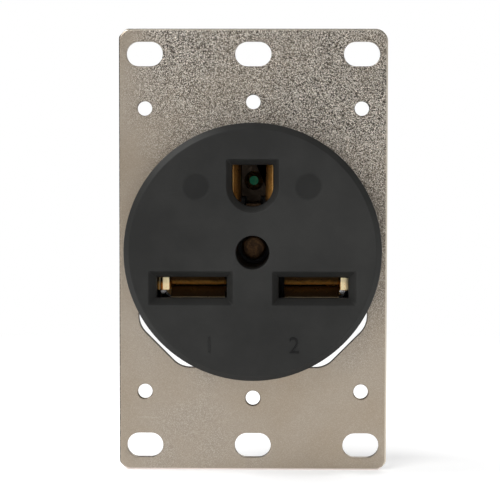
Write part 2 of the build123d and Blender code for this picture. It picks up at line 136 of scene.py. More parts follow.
def cut_corners(half_x: float, half_z: float, cuts: Sequence[float]) -> list[Pair]:
    """Corners of a rectangle whose four corners are cut at 45 degrees.

    Args:
        half_x: Half its width.
        half_z: Half its height.
        cuts: Cut along each side at the corners, counter-clockwise from the lower right.

    Returns:
        Eight points, counter-clockwise as the user sees them.
    """
    low_right, high_right, high_left, low_left = cuts
    return [
        (half_x - low_right, -half_z), (half_x, low_right - half_z),
        (half_x, half_z - high_right), (half_x - high_right, half_z),
        (high_left - half_x, half_z), (-half_x, half_z - high_left),
        (-half_x, low_left - half_z), (low_left - half_x, -half_z),
    ]


def circle(centre: Pair, diameter: float, count: int = 96) -> Array:
    """Outline of a circle: evenly spaced points at half the diameter from the centre.

    Args:
        centre: Its centre (x, z).
        diameter: Its diameter.
        count: Number of points.

    Returns:
        Points of shape (count, 2).
    """
    angle = np.linspace(0, FULL_TURN, count, endpoint=False)
    return np.stack((np.cos(angle), np.sin(angle)), -1) * diameter / 2 + np.asarray(centre)


def shifted(outline: Array, distance: float) -> Array:
    """Outline moved outwards, or inwards where the distance is negative.

    Each point goes along the mean of the normals of its two sides, and as far as the distance
    divided by the cosine of half the turn between them, so that the sides move by the distance.

    Args:
        outline: Closed counter-clockwise outline of shape (n, 2).
        distance: How far its sides move.

    Returns:
        The new outline, with the same number of points.
    """
    before = outline - np.roll(outline, 1, 0)
    after = np.roll(outline, -1, 0) - outline
    normals = [np.stack((side[:, 1], -side[:, 0]), -1) for side in (before, after)]
    normals = [normal / np.linalg.norm(normal, axis=1, keepdims=True) for normal in normals]
    mean = normals[0] + normals[1]
    mean /= np.linalg.norm(mean, axis=1, keepdims=True)
    cosine = (mean * normals[0]).sum(1, keepdims=True)
    return outline + mean * distance / cosine


def ring(outline: Array, depth: float) -> Array:
    """Outline as points in space at one depth."""
    return np.column_stack((outline[:, 0], np.full(len(outline), depth), outline[:, 1]))


def swept(outline: Array, profile: Sequence[Pair]) -> Array:
    """Surface of an edge profile carried round an outline.

    Args:
        outline: Closed outline of shape (n, 2).
        profile: Pairs of a shift outwards and a depth, one for each ring.

    Returns:
        Rings as an array of shape (len(profile), n, 3).
    """
    return np.stack([ring(shifted(outline, shift), depth) for shift, depth in profile])


class EdgeSide(Enum):
    """Which side of its outline an edge has its material on."""

    PLATE = -1.0
    HOLE = 1.0


def edge_arc(
    radius: float, face: float, inward: float, side: EdgeSide, steps: int = 5
) -> list[Pair]:
    """Quarter round from a flat face to a wall, as pairs of a shift and a depth.

    With t from 0 to a right angle, the shift is radius * (1 - sin t) to the material's side, and
    the depth is the face's plus radius * (1 - cos t) into the material.

    Args:
        radius: Radius of the edge.
        face: Depth of the flat face.
        inward: 1 where the material lies at greater depths than the face, -1 otherwise.
        side: Whether the outline bounds a plate or a hole.
        steps: Number of spans in the arc.

    Returns:
        The pairs, from the face to the wall.
    """
    t = np.linspace(0, QUARTER_TURN, steps + 1)
    shift = side.value * radius * (1 - np.sin(t))
    depth = face + inward * radius * (1 - np.cos(t))
    return list(zip(shift.tolist(), depth.tolist()))


# Meshes


def inside(points: Array, outline: Array) -> Array:
    """Which points lie inside an outline.

    A point is inside when a ray to its right crosses an odd number of the outline's sides.

    Args:
        points: Points of shape (n, 2).
        outline: Closed outline of shape (m, 2).

    Returns:
        Truth values of shape (n,).
    """
    start, end = outline, np.roll(outline, -1, 0)
    x, z = points[:, :1], points[:, 1:]
    spans = (start[:, 1] > z) != (end[:, 1] > z)
    rise = np.where(end[:, 1] == start[:, 1], 1, end[:, 1] - start[:, 1])
    crossing = start[:, 0] + (z - start[:, 1]) * (end[:, 0] - start[:, 0]) / rise
    return (np.sum(spans & (x < crossing), axis=1) % 2).astype(bool)


class Shell:
    """Closed surface gathered from grids and flat caps, then welded into one mesh."""

    def __init__(self) -> None:
        """Start with no points."""
        self.points: list[Array] = []
        self.faces: list[tuple[int, ...]] = []
        self.count = 0

    def take(self, points: Array, faces: Array) -> None:
        """Add points, and faces that count from the first of them.

        Args:
            points: Points of shape (n, 3).
            faces: Numbers of their points, of shape (m, 3) or (m, 4).
        """
        self.faces.extend(map(tuple, (faces + self.count).tolist()))
        self.points.append(points)
        self.count += len(points)

    def grid(self, rings: Array, closed: bool = True) -> "Shell":
        """Add a grid of points.

        Each face joins two neighbours in one row and the two beside them in the following row.

        Args:
            rings: Points of shape (rows, columns, 3).
            closed: Whether the last column joins the first.

        Returns:
            The shell itself.
        """
        rows, columns = rings.shape[:2]
        row = np.arange(rows - 1)[:, None] * columns
        column = np.arange(columns if closed else columns - 1)[None, :]
        following = (column + 1) % columns
        quads = (row + column, row + following, row + columns + following, row + columns + column)
        self.take(rings.reshape(-1, 3), np.stack(quads, -1).reshape(-1, 4))
        return self

    def cap(self, rim: Array, holes: Sequence[Array] = ()) -> "Shell":
        """Add a flat cap between a rim and its holes.

        The cap is a constrained Delaunay net of all the loops, less the triangles whose centre
        lies outside the rim or inside a hole.

        Args:
            rim: Ring of shape (n, 3) at one depth.
            holes: Rings at the same depth.

        Returns:
            The shell itself.
        """
        loops = [rim, *holes]
        flat = np.vstack(loops)[:, [0, 2]]
        starts = np.cumsum([0] + [len(loop) for loop in loops])
        sides = []
        for start, loop in zip(starts, loops):
            index = start + np.arange(len(loop))
            sides += np.column_stack((index, np.roll(index, -1))).tolist()
        corners = [Vector(point) for point in flat.tolist()]
        _, _, faces, sources, *_ = delaunay_2d_cdt(corners, sides, [], 0, WELD_DISTANCE)
        origin = np.array([near[0] if near else -1 for near in sources])
        triangles = origin[np.array(faces)]
        middle = flat[triangles].mean(1)
        kept = inside(middle, rim[:, [0, 2]])
        for hole in holes:
            kept &= ~inside(middle, hole[:, [0, 2]])
        self.take(np.vstack(loops), triangles[kept])
        return self

    def build(self, name: str, smooth_degrees: float = 40.0) -> bpy.types.Object:
        """Weld the gathered points and make the object.

        Args:
            name: Name of the object and its mesh.
            smooth_degrees: Edges that turn by more than this stay sharp.

        Returns:
            The object, at the origin, with its faces pointing outwards.
        """
        mesh = bpy.data.meshes.new(name)
        mesh.from_pydata((np.vstack(self.points) * METRES).tolist(), [], self.faces)
        return finished(name, mesh, smooth_degrees)


def welded(mesh: bpy.types.Mesh, flatten: bool) -> None:
    """Weld a mesh's doubled points and turn its faces outwards.

    Args:
        mesh: Mesh in metres, which is changed.
        flatten: Whether to join the faces that lie in one plane, or else to drop collapsed ones.
    """
    work = bmesh.new()
    work.from_mesh(mesh)
    bmesh.ops.remove_doubles(work, verts=work.verts, dist=WELD_DISTANCE)
    if flatten:
        bmesh.ops.dissolve_limit(
            work, angle_limit=FLAT_ANGLE, verts=work.verts, edges=work.edges
        )
    else:
        bmesh.ops.dissolve_degenerate(work, edges=work.edges, dist=COLLAPSED_LENGTH)
    bmesh.ops.recalc_face_normals(work, faces=work.faces)
    work.to_mesh(mesh)
    work.free()


def finished(
    name: str, mesh: bpy.types.Mesh, smooth_degrees: float, flatten: bool = False
) -> bpy.types.Object:
    """Weld a mesh, shade it and link its object.

    Args:
        name: Name of the object.
        mesh: Mesh in metres.
        smooth_degrees: Edges that turn by more than this stay sharp.
        flatten: Whether to join the faces that lie in one plane.

    Returns:
        The linked object, at the origin.
    """
    welded(mesh, flatten)
    mesh.shade_smooth()
    mesh.set_sharp_from_angle(angle=math.radians(smooth_degrees))
    piece = bpy.data.objects.new(name, mesh)
    bpy.context.scene.collection.objects.link(piece)
    return piece


def even_normals(piece: bpy.types.Object) -> None:
    """Let each flat face keep its own normal beside its rounded edges.

    Args:
        piece: The piece.
    """
    modifier = piece.modifiers.new("even_normals", "WEIGHTED_NORMAL")
    modifier.mode = "FACE_AREA"
    modifier.weight = 100
    modifier.keep_sharp = True


@dataclass(frozen=True)
class Pinch:
    """Leaves of a contact drawn in at their throat, as they rest without a plug.

    Attributes:
        amount: How far each leaf moves at the throat.
        middle: Height between the leaves.
        across: Distances from the middle plane between which the leaves lie.
        depths: Depths of the lip, the throat and the root.
    """

    amount: float
    middle: float
    across: Pair
    depths: Triple

    def shift(self, points: Array) -> Array:
        """Move points towards the middle by amount * cos(s * right angle) squared.

        Here s is a point's distance from the throat over that of the lip or the root, at most 1.

        Args:
            points: Points of shape (n, 3), in millimetres.

        Returns:
            The moved points.
        """
        lip, throat, root = self.depths
        depth, across = points[:, 1], np.abs(points[:, 0])
        before, behind = (throat - depth) / (throat - lip), (depth - throat) / (root - throat)
        share = np.where(depth < throat, before, behind)
        weight = np.cos(QUARTER_TURN * np.clip(share, 0, 1)) ** 2
        weight *= (across > self.across[0]) & (across < self.across[1])
        moved = points.copy()
        moved[:, 2] -= np.sign(points[:, 2] - self.middle) * self.amount * weight
        return moved


@dataclass(frozen=True)
class RoundedCopy:
    """Welded copy of a CAD node with small rounds on its edges.

    Attributes:
        node: Name of the CAD node.
        edge_round: Size of the round on each edge, in millimetres.
        limit_degrees: Edges that turn by more than this are rounded.
        segments: Spans across each round.
        pinch: Change of shape of a contact's leaves, or None.
    """

    node: str
    edge_round: float
    limit_degrees: float = 35.0
    segments: int = 2
    pinch: Pinch | None = None

    def build(self, name: str) -> bpy.types.Object:
        """Copy, weld and flatten the node's mesh, then round its edges with modifiers.

        Args:
            name: Name of the new piece.

        Returns:
            The new piece.
        """
        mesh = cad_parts[self.node].data.copy()
        mesh.name = name
        mesh.materials.clear()
        if self.pinch:
            flat = np.empty(len(mesh.vertices) * 3)
            mesh.vertices.foreach_get("co", flat)
            moved = self.pinch.shift(flat.reshape(-1, 3) / METRES)
            mesh.vertices.foreach_set("co", (moved * METRES).ravel())
        piece = finished(name, mesh, self.limit_degrees, flatten=True)
        bevel = piece.modifiers.new("edge_round", "BEVEL")
        bevel.width = self.edge_round * METRES
        bevel.segments = self.segments
        bevel.limit_method = "ANGLE"
        bevel.angle_limit = math.radians(self.limit_degrees)
        bevel.use_clamp_overlap = False
        bevel.miter_outer = "MITER_ARC"
        bevel.harden_normals = True
        return piece


def install(piece: bpy.types.Object, material: Material, slot: str, *nodes: str) -> None:
    """Paint a piece, let it ride on the body and let it stand for its CAD nodes.

    Args:
        piece: The new piece.
        material: Its finish.
        slot: Name of the finish's material slot; not used.
        nodes: CAD nodes that the piece stands for.
    """
    piece.data.materials.clear()
    piece.data.materials.append(material)
    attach(piece, "root")
    if nodes:
        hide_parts(*nodes)
    LOG.info("%s: %d faces, stands for %s", piece.name, len(piece.data.polygons), nodes)


# Finishes


class Arithmetic(Enum):
    """Arithmetic steps of a node tree."""

    ADD = "ADD"
    SUBTRACT = "SUBTRACT"
    MULTIPLY = "MULTIPLY"
    LARGER = "MAXIMUM"
    SIZE = "ABSOLUTE"


class NodeTools:
    """Short calls for the nodes that the finishes and the world use."""

    def __init__(self, tree: bpy.types.NodeTree, coordinates: str) -> None:
        """Take a tree, and the texture coordinates that its nodes work on.

        Args:
            tree: The node tree.
            coordinates: Name of the texture coordinates.
        """
        self.tree = tree
        self.coordinates = tree.nodes.new("ShaderNodeTexCoord")
        self.place = self.coordinates.outputs[coordinates]

    def link(self, source: Socket, target: Socket) -> None:
        """Join two sockets."""
        self.tree.links.new(source, target)

    def feed(self, target: Socket, value: object) -> None:
        """Give a socket a link or a plain value.

        Args:
            target: The socket.
            value: A socket, a number or a colour.
        """
        if isinstance(value, Socket):
            self.link(value, target)
        elif target.type == "RGBA":
            target.default_value = (*value, 1.0)
        else:
            target.default_value = value

    def mapped(self, scale: Triple, turn: Triple = (0.0, 0.0, 0.0)) -> Socket:
        """Object coordinates stretched by a scale per metre and turned by angles in degrees.

        Args:
            scale: Features in a metre along X, Y and Z.
            turn: Turn about X, Y and Z, in degrees.

        Returns:
            Socket of the coordinates.
        """
        node = self.tree.nodes.new("ShaderNodeMapping")
        node.inputs["Rotation"].default_value = Euler([math.radians(angle) for angle in turn])
        node.inputs["Scale"].default_value = scale
        self.link(self.place, node.inputs["Vector"])
        return node.outputs["Vector"]

    def noise(
        self, scale: float, detail: float = 2.0, rough: float = 0.5, at: Socket | None = None
    ) -> Socket:
        """Value of a noise texture.

        Args:
            scale: Number of features in a metre, or in a unit of the given coordinates.
            detail: Number of octaves.
            rough: Strength of the finer octaves.
            at: Coordinates, or None for the object's own.

        Returns:
            The noise value's socket.
        """
        node = self.tree.nodes.new("ShaderNodeTexNoise")
        node.inputs["Scale"].default_value = scale
        node.inputs["Detail"].default_value = detail
        node.inputs["Roughness"].default_value = rough
        self.link(at or self.place, node.inputs["Vector"])
        return node.outputs["Fac"]

    def cells(self, scale: float) -> Socket:
        """Random value of each cell of a cell texture.

        Args:
            scale: Number of cells in a metre.

        Returns:
            Socket of the value.
        """
        node = self.tree.nodes.new("ShaderNodeTexVoronoi")
        node.inputs["Scale"].default_value = scale
        self.link(self.place, node.inputs["Vector"])
        separate = self.tree.nodes.new("ShaderNodeSeparateColor")
        self.link(node.outputs["Color"], separate.inputs["Color"])
        return separate.outputs["Red"]

    def spread(self, value: Socket, low: Pair, high: Pair) -> Socket:
        """Map a value from one span to another and clamp it.

        Args:
            value: Socket of the value.
            low: The value at the low end and what it becomes.
            high: The value at the high end and what it becomes.

        Returns:
            The mapped value's socket.
        """
        node = self.tree.nodes.new("ShaderNodeMapRange")
        self.link(value, node.inputs["Value"])
        node.inputs["From Min"].default_value, node.inputs["To Min"].default_value = low
        node.inputs["From Max"].default_value, node.inputs["To Max"].default_value = high
        return node.outputs["Result"]

    def worked_out(self, step: Arithmetic, first: object, second: object) -> Socket:
        """Result of one arithmetic step on two values, each a socket or a number.

        Args:
            step: The step.
            first: The first value.
            second: The second value.

        Returns:
            Socket of the result.
        """
        node = self.tree.nodes.new("ShaderNodeMath")
        node.operation = step.value
        self.feed(node.inputs[0], first)
        self.feed(node.inputs[1], second)
        return node.outputs["Value"]

    def plus(self, first: object, second: object) -> Socket:
        """Sum of two values."""
        return self.worked_out(Arithmetic.ADD, first, second)

    def times(self, first: object, second: object) -> Socket:
        """Product of two values."""
        return self.worked_out(Arithmetic.MULTIPLY, first, second)

    def larger(self, first: object, second: object) -> Socket:
        """Larger of two values."""
        return self.worked_out(Arithmetic.LARGER, first, second)

    def rest(self, value: object) -> Socket:
        """What a value leaves of 1."""
        return self.worked_out(Arithmetic.SUBTRACT, 1.0, value)

    def apart(self, first: object, second: object) -> Socket:
        """How far two values are apart."""
        difference = self.worked_out(Arithmetic.SUBTRACT, first, second)
        return self.worked_out(Arithmetic.SIZE, difference, 0.0)

    def blend(self, factor: object, first: object, second: object) -> Socket:
        """Colour between two colours.

        Args:
            factor: Share of the second colour.
            first: The first colour.
            second: The second colour.

        Returns:
            Socket of the colour.
        """
        node = self.tree.nodes.new("ShaderNodeMix")
        node.data_type = "RGBA"
        self.feed(node.inputs["Factor"], factor)
        self.feed(node.inputs["A"], first)
        self.feed(node.inputs["B"], second)
        return node.outputs["Result"]

    def axis(self, name: str, of: Socket | None = None) -> Socket:
        """One coordinate of the place, or of another vector.

        Args:
            name: X, Y or Z.
            of: The vector, or None for the place.

        Returns:
            Socket of the coordinate.
        """
        node = self.tree.nodes.new("ShaderNodeSeparateXYZ")
        self.link(of or self.place, node.inputs["Vector"])
        return node.outputs[name]

    def distance(self, centre: Pair, mirrored: bool = False) -> Socket:
        """Distance from the axis along Y through a centre, or also from its mirror image in X.

        Args:
            centre: The centre (x, z), in metres.
            mirrored: Whether its mirror image counts too.

        Returns:
            Socket of the distance.
        """
        join = self.tree.nodes.new("ShaderNodeCombineXYZ")
        across = self.axis("X")
        if mirrored:
            across = self.worked_out(Arithmetic.SIZE, across, 0.0)
        self.link(across, join.inputs["X"])
        self.link(self.axis("Z"), join.inputs["Z"])
        node = self.tree.nodes.new("ShaderNodeVectorMath")
        node.operation = "DISTANCE"
        self.link(join.outputs["Vector"], node.inputs[0])
        node.inputs[1].default_value = (centre[0], 0.0, centre[1])
        return node.outputs["Value"]

    def ray(self, *kinds: str) -> Socket:
        """1 for a ray of any of the named kinds, 0 for the others.

        Args:
            kinds: Kinds of ray, such as Camera.

        Returns:
            Socket of the value.
        """
        path = self.tree.nodes.new("ShaderNodeLightPath")
        seen = path.outputs[f"Is {kinds[0]} Ray"]
        for kind in kinds[1:]:
            seen = self.larger(seen, path.outputs[f"Is {kind} Ray"])
        return seen


class NodeSheet(NodeTools):
    """Node tree of one material, on the object's own coordinates."""

    def __init__(self, name: str) -> None:
        """Make the material with its shader.

        Args:
            name: Name of the material.
        """
        self.material = bpy.data.materials.new(name)
        self.material.use_nodes = True
        tree = self.material.node_tree
        tree.nodes.clear()
        output = tree.nodes.new("ShaderNodeOutputMaterial")
        self.shader = tree.nodes.new("ShaderNodeBsdfPrincipled")
        tree.links.new(self.shader.outputs["BSDF"], output.inputs["Surface"])
        super().__init__(tree, "Object")

    def shade_slot_floor(self, colour: Socket, floor: float) -> Socket:
        """Paint shade on the floor of a driver slot, which faces the rear at one depth in metres.

        Args:
            colour: Colour of the metal.
            floor: Depth of the floor, in metres.

        Returns:
            Socket of the colour.
        """
        facing = self.spread(self.facing("Y"), (0.97, 0.0), (0.99, 0.85))
        near = self.spread(self.apart(self.axis("Y"), floor), (0.00020, 0.0), (0.00012, 1.0))
        return self.blend(self.times(facing, near), colour, SLOT_FLOOR_SHADE)

    def facing(self, name: str) -> Socket:
        """One part of the surface's normal, on the object's own axes."""
        return self.axis(name, self.coordinates.outputs["Normal"])

    def relief(self, *layers: tuple[Socket, float]) -> None:
        """Chain bumps, given as pairs of a height socket and a depth in metres, into the normal.

        Args:
            layers: The pairs.
        """
        normal = None
        for height, depth in layers:
            node = self.tree.nodes.new("ShaderNodeBump")
            node.inputs["Strength"].default_value = 1.0
            node.inputs["Distance"].default_value = depth
            self.link(height, node.inputs["Height"])
            if normal:
                self.link(normal, node.inputs["Normal"])
            normal = node.outputs["Normal"]
        self.link(normal, self.shader.inputs["Normal"])

    def set(self, **values: object) -> None:
        """Set the shader's inputs, named with _ for a space.

        Args:
            values: A socket, number or colour for each input.
        """
        for name, value in values.items():
            self.feed(self.shader.inputs[name.replace("_", " ")], value)


@dataclass(frozen=True)
class PlatedSheetFinish:
    """Nickel plating on rolled sheet: satin grain that is coarse at the top, with fine scratches.

    Attributes:
        light: Plating where it is clean.
        dull: Plating where it is duller.
        speck: Colour of the darker specks between the crystals, and of the painted shade on the
            edges.
        glint: Painted highlight on the crystals and scratches that would catch the light.
        wear_and_highlight: Painted highlight on the rolled edges to the right and on the top's
            crest.
        lower_edge_highlight: Painted highlight on the rolled lower edge.
        grain_scale: Features of the grain in a metre.
        crystal_scale: Crystals in a metre.
        dark_fade: Values of grain and crystals at which the specks begin and are full.
        bright_fade: The same for the painted glints.
        grain_depth: Depth of the grain, in metres.
        scratch_depth: Depth of the scratches, in metres.
        side: Distance in metres from the middle plane to where a side edge begins and is full.
        end: The same for the upper and the lower edge.
    """

    light: Colour = (0.432, 0.376, 0.312)
    dull: Colour = (0.365, 0.300, 0.228)
    speck: Colour = (0.014, 0.012, 0.010)
    glint: Colour = (0.92, 0.86, 0.77)
    wear_and_highlight: Colour = (0.74, 0.67, 0.56)
    lower_edge_highlight: Colour = (0.80, 0.72, 0.68)
    grain_scale: float = 8200.0
    crystal_scale: float = 8600.0
    dark_fade: Fade = ((0.475, 0.0), (0.505, 1.0))
    bright_fade: Fade = ((0.415, 0.0), (0.385, 1.0))
    grain_depth: float = 0.000034
    scratch_depth: float = 0.000006
    side: Pair = (0.0278, 0.0279)
    end: Pair = (0.0463, 0.0464)

    def grained(self, sheet: NodeSheet, clouds: Socket) -> Socket:
        """Strength of the grain: full to the upper right, faint to the lower left.

        Args:
            sheet: The material's node tree.
            clouds: Wide noise that makes the border of the grained region wander.

        Returns:
            Socket of the strength.
        """
        diagonal = sheet.plus(sheet.times(sheet.axis("X"), 0.45), sheet.axis("Z"))
        drift = sheet.spread(clouds, (0.35, -0.16), (0.65, 0.16))
        region = sheet.plus(sheet.spread(diagonal, (-0.012, 0.04), (0.034, 0.92)), drift)
        across = sheet.plus(sheet.axis("X"), sheet.times(drift, 0.02))
        smooth = sheet.spread(across, (-0.0265, 0.12), (-0.0165, 1.0))
        return sheet.larger(sheet.times(region, smooth), 0.07)

    def paint(self) -> Material:
        """Make the material: colour, roughness and bump share one grain whose strength varies.

        Returns:
            The material.
        """
        sheet = NodeSheet("nickel_plated_sheet")
        clouds = sheet.noise(38.0, 4.0, 0.6)
        region = self.grained(sheet, clouds)
        grain = sheet.noise(self.grain_scale, 2.0, 0.9)
        crystals = sheet.cells(self.crystal_scale)
        mixed = sheet.plus(sheet.times(grain, 0.6), sheet.times(crystals, 0.4))
        dark = sheet.times(sheet.spread(mixed, *self.dark_fade), region)
        bright = sheet.times(sheet.spread(mixed, *self.bright_fade), region)
        strokes = sheet.noise(1.0, 3.0, 0.55, sheet.mapped((60.0, 60.0, 2600.0), (0.0, 62.0, 0.0)))
        scratch = sheet.spread(strokes, (0.74, 0.0), (0.80, 1.0))
        colour = sheet.blend(sheet.spread(clouds, (0.3, 0.0), (0.7, 1.0)), self.dull, self.light)
        colour = sheet.blend(dark, colour, self.speck)
        # Painted highlight: glints on the brightest crystals, and fainter ones along the scratches.
        colour = sheet.blend(bright, colour, self.glint)
        colour = sheet.blend(sheet.times(scratch, 0.25), colour, self.glint)
        colour = self.edges(sheet, colour)
        ruffled = sheet.times(sheet.spread(grain, (0.3, -0.04), (0.7, 0.12)), region)
        rough = sheet.plus(sheet.spread(clouds, (0.3, 0.30), (0.7, 0.40)), ruffled)
        sheet.set(Base_Color=colour, Metallic=1.0, Roughness=rough)
        depth = sheet.spread(region, (0.0, 0.22), (1.0, 1.0))
        height = sheet.times(sheet.plus(grain, crystals), depth)
        sheet.relief((height, self.grain_depth), (scratch, self.scratch_depth))
        return sheet.material

    def edges(self, sheet: NodeSheet, colour: Socket) -> Socket:
        """Paint light and shade on the rolled outer edges: highlights right and below, shade left
        and on top.

        Args:
            sheet: The material's node tree.
            colour: Colour of the plate.

        Returns:
            The colour with the edges in it.
        """
        x, z = sheet.axis("X"), sheet.axis("Z")
        across, up = sheet.facing("X"), sheet.facing("Z")
        (side, full_side), (end, full_end) = self.side, self.end
        at_right = sheet.spread(x, (side, 0.0), (full_side, 1.0))
        at_left = sheet.spread(x, (-side, 0.0), (-full_side, 1.0))
        at_top = sheet.spread(z, (end, 0.0), (full_end, 1.0))
        at_bottom = sheet.spread(z, (-end, 0.0), (-full_end, 1.0))
        right = sheet.times(at_right, sheet.spread(across, (0.10, 0.0), (0.45, 0.9)))
        below = sheet.times(at_bottom, sheet.spread(up, (-0.05, 0.0), (-0.40, 0.95)))
        left = sheet.times(at_left, sheet.spread(across, (-0.45, 0.0), (-0.68, 1.0)))
        above = sheet.times(at_top, sheet.spread(up, (0.55, 0.0), (0.75, 0.7)))
        crest = sheet.times(at_top, sheet.spread(up, (0.05, 0.0), (0.40, 0.8)))
        # Painted highlight on the edges that face right and down, and on the top's crest.
        colour = sheet.blend(sheet.larger(right, crest), colour, self.wear_and_highlight)
        colour = sheet.blend(below, colour, self.lower_edge_highlight)
        # Painted shade on the edges that face left and up, broken into patches.
        edge_breakup = sheet.spread(sheet.noise(2600.0, 2.0, 0.6), (0.40, 0.35), (0.55, 1.0))
        bare_metal_and_edge_shade = sheet.times(sheet.larger(left, above), edge_breakup)
        return sheet.blend(bare_metal_and_edge_shade, colour, self.speck)


@dataclass(frozen=True)
class MouldedFinish:
    """Black thermoset moulding: matt skin with a fine grain, flow clouds and a dusty haze.

    Attributes:
        name: Name of the material.
        body: Colour of the moulding.
        haze: Colour of the dust and of the places that rubbing has marked.
        rough: Mean roughness.
        grain: Depth of the skin's grain, in metres.
        gloss: Strength of the skin's reflection.
        disk: Centre (x, z) in metres of a duller disk and of its mirror image, or None.
        disk_radius: Radius of the disks, in metres.
        disk_blur: Half the width of the disks' soft rim, in metres.
        disk_shade: Colour that darkens the disks, and how strongly.
    """

    name: str
    body: Colour = (0.0222, 0.0222, 0.0214)
    haze: Colour = (0.040, 0.040, 0.038)
    rough: float = 0.46
    grain: float = 0.000010
    gloss: float = 0.13
    disk: Pair | None = None
    disk_radius: float = 0.00272
    disk_blur: float = 0.0003
    disk_shade: tuple[Colour, float] = ((0.006, 0.006, 0.006), 0.40)

    def paint(self) -> Material:
        """Make the material.

        Returns:
            The material.
        """
        sheet = NodeSheet(self.name)
        clouds = sheet.noise(55.0, 5.0, 0.6)
        skin = sheet.noise(5200.0, 2.0, 0.6)
        dust = sheet.spread(sheet.noise(1500.0, 3.0, 0.7), (0.62, 0.0), (0.8, 1.0))
        # Rub marks that streak the moulding.
        rub_marks_and_throat_light = sheet.noise(1.0, 3.0, 0.5, sheet.mapped((260.0, 260.0, 2400.0), (0.0, 28.0, 0.0)))
        strokes = sheet.spread(rub_marks_and_throat_light, (0.66, 0.0), (0.78, 1.0))
        haze = sheet.spread(clouds, (0.36, 0.0), (0.68, 0.62))
        haze = sheet.plus(haze, sheet.times(dust, 0.16))
        haze = sheet.plus(haze, sheet.times(strokes, 0.12))
        colour = sheet.blend(haze, self.body, self.haze)
        rough = sheet.spread(clouds, (0.3, self.rough - 0.05), (0.7, self.rough + 0.06))
        rough = sheet.plus(rough, sheet.times(strokes, -0.05))
        if self.disk:
            away = sheet.distance(self.disk, mirrored=True)
            away = sheet.plus(away, sheet.spread(skin, (0.3, -0.00015), (0.7, 0.00015)))
            outside, within = self.disk_radius + self.disk_blur, self.disk_radius - self.disk_blur
            dull = sheet.spread(away, (outside, 0.0), (within, 1.0))
            shade, strength = self.disk_shade
            colour = sheet.blend(sheet.times(dull, strength), colour, shade)
        sheet.set(Base_Color=colour, Roughness=rough, Specular_IOR_Level=self.gloss)
        sheet.relief((skin, self.grain), (strokes, 0.000002))
        return sheet.material


@dataclass(frozen=True)
class SheetMetalFinish:
    """Sheared and folded sheet metal: rolling streaks, dull patches and stains.

    Attributes:
        name: Name of the material.
        clean: Colour of the clean metal.
        stained: Colour of the stained metal.
        rough: Mean roughness.
        stain: Share of the surface that is stained, from 0 to 1.
        streaks: Features per metre along X, Y and Z of the rolling streaks.
        slot_floor: Depth in metres of the floor of a driver slot, which gets painted shade, or
            None.
    """

    name: str
    clean: Colour
    stained: Colour
    rough: float = 0.3
    stain: float = 0.4
    streaks: Triple = (2600.0, 220.0, 2600.0)
    slot_floor: float | None = None

    def body(self, sheet: NodeSheet) -> tuple[Socket, Socket]:
        """Wire up the stained metal and its relief.

        Args:
            sheet: The material's node tree.

        Returns:
            Sockets of the colour and the roughness.
        """
        patches = sheet.noise(420.0, 5.0, 0.62)
        lines = sheet.noise(1.0, 3.0, 0.6, sheet.mapped(self.streaks))
        pits = sheet.spread(sheet.noise(3200.0, 2.0, 0.6), (0.66, 0.0), (0.8, 1.0))
        edge = 0.68 - 0.36 * self.stain
        dull = sheet.spread(patches, (edge - 0.12, 0.0), (edge + 0.14, 1.0))
        tone = sheet.plus(dull, sheet.spread(lines, (0.35, -0.12), (0.7, 0.28)))
        colour = sheet.blend(tone, self.clean, self.stained)
        rough = sheet.spread(dull, (0.0, self.rough), (1.0, self.rough + 0.2))
        rough = sheet.plus(rough, sheet.spread(lines, (0.3, -0.06), (0.7, 0.1)))
        sheet.relief((lines, 0.000010), (pits, -0.000012))
        return colour, rough

    def paint(self) -> Material:
        """Make the material.

        Returns:
            The material.
        """
        sheet = NodeSheet(self.name)
        colour, rough = self.body(sheet)
        if self.slot_floor:
            # Painted shade on the floor of the driver slot.
            colour = sheet.shade_slot_floor(colour, self.slot_floor)
        sheet.set(Base_Color=colour, Metallic=1.0, Roughness=rough)
        return sheet.material


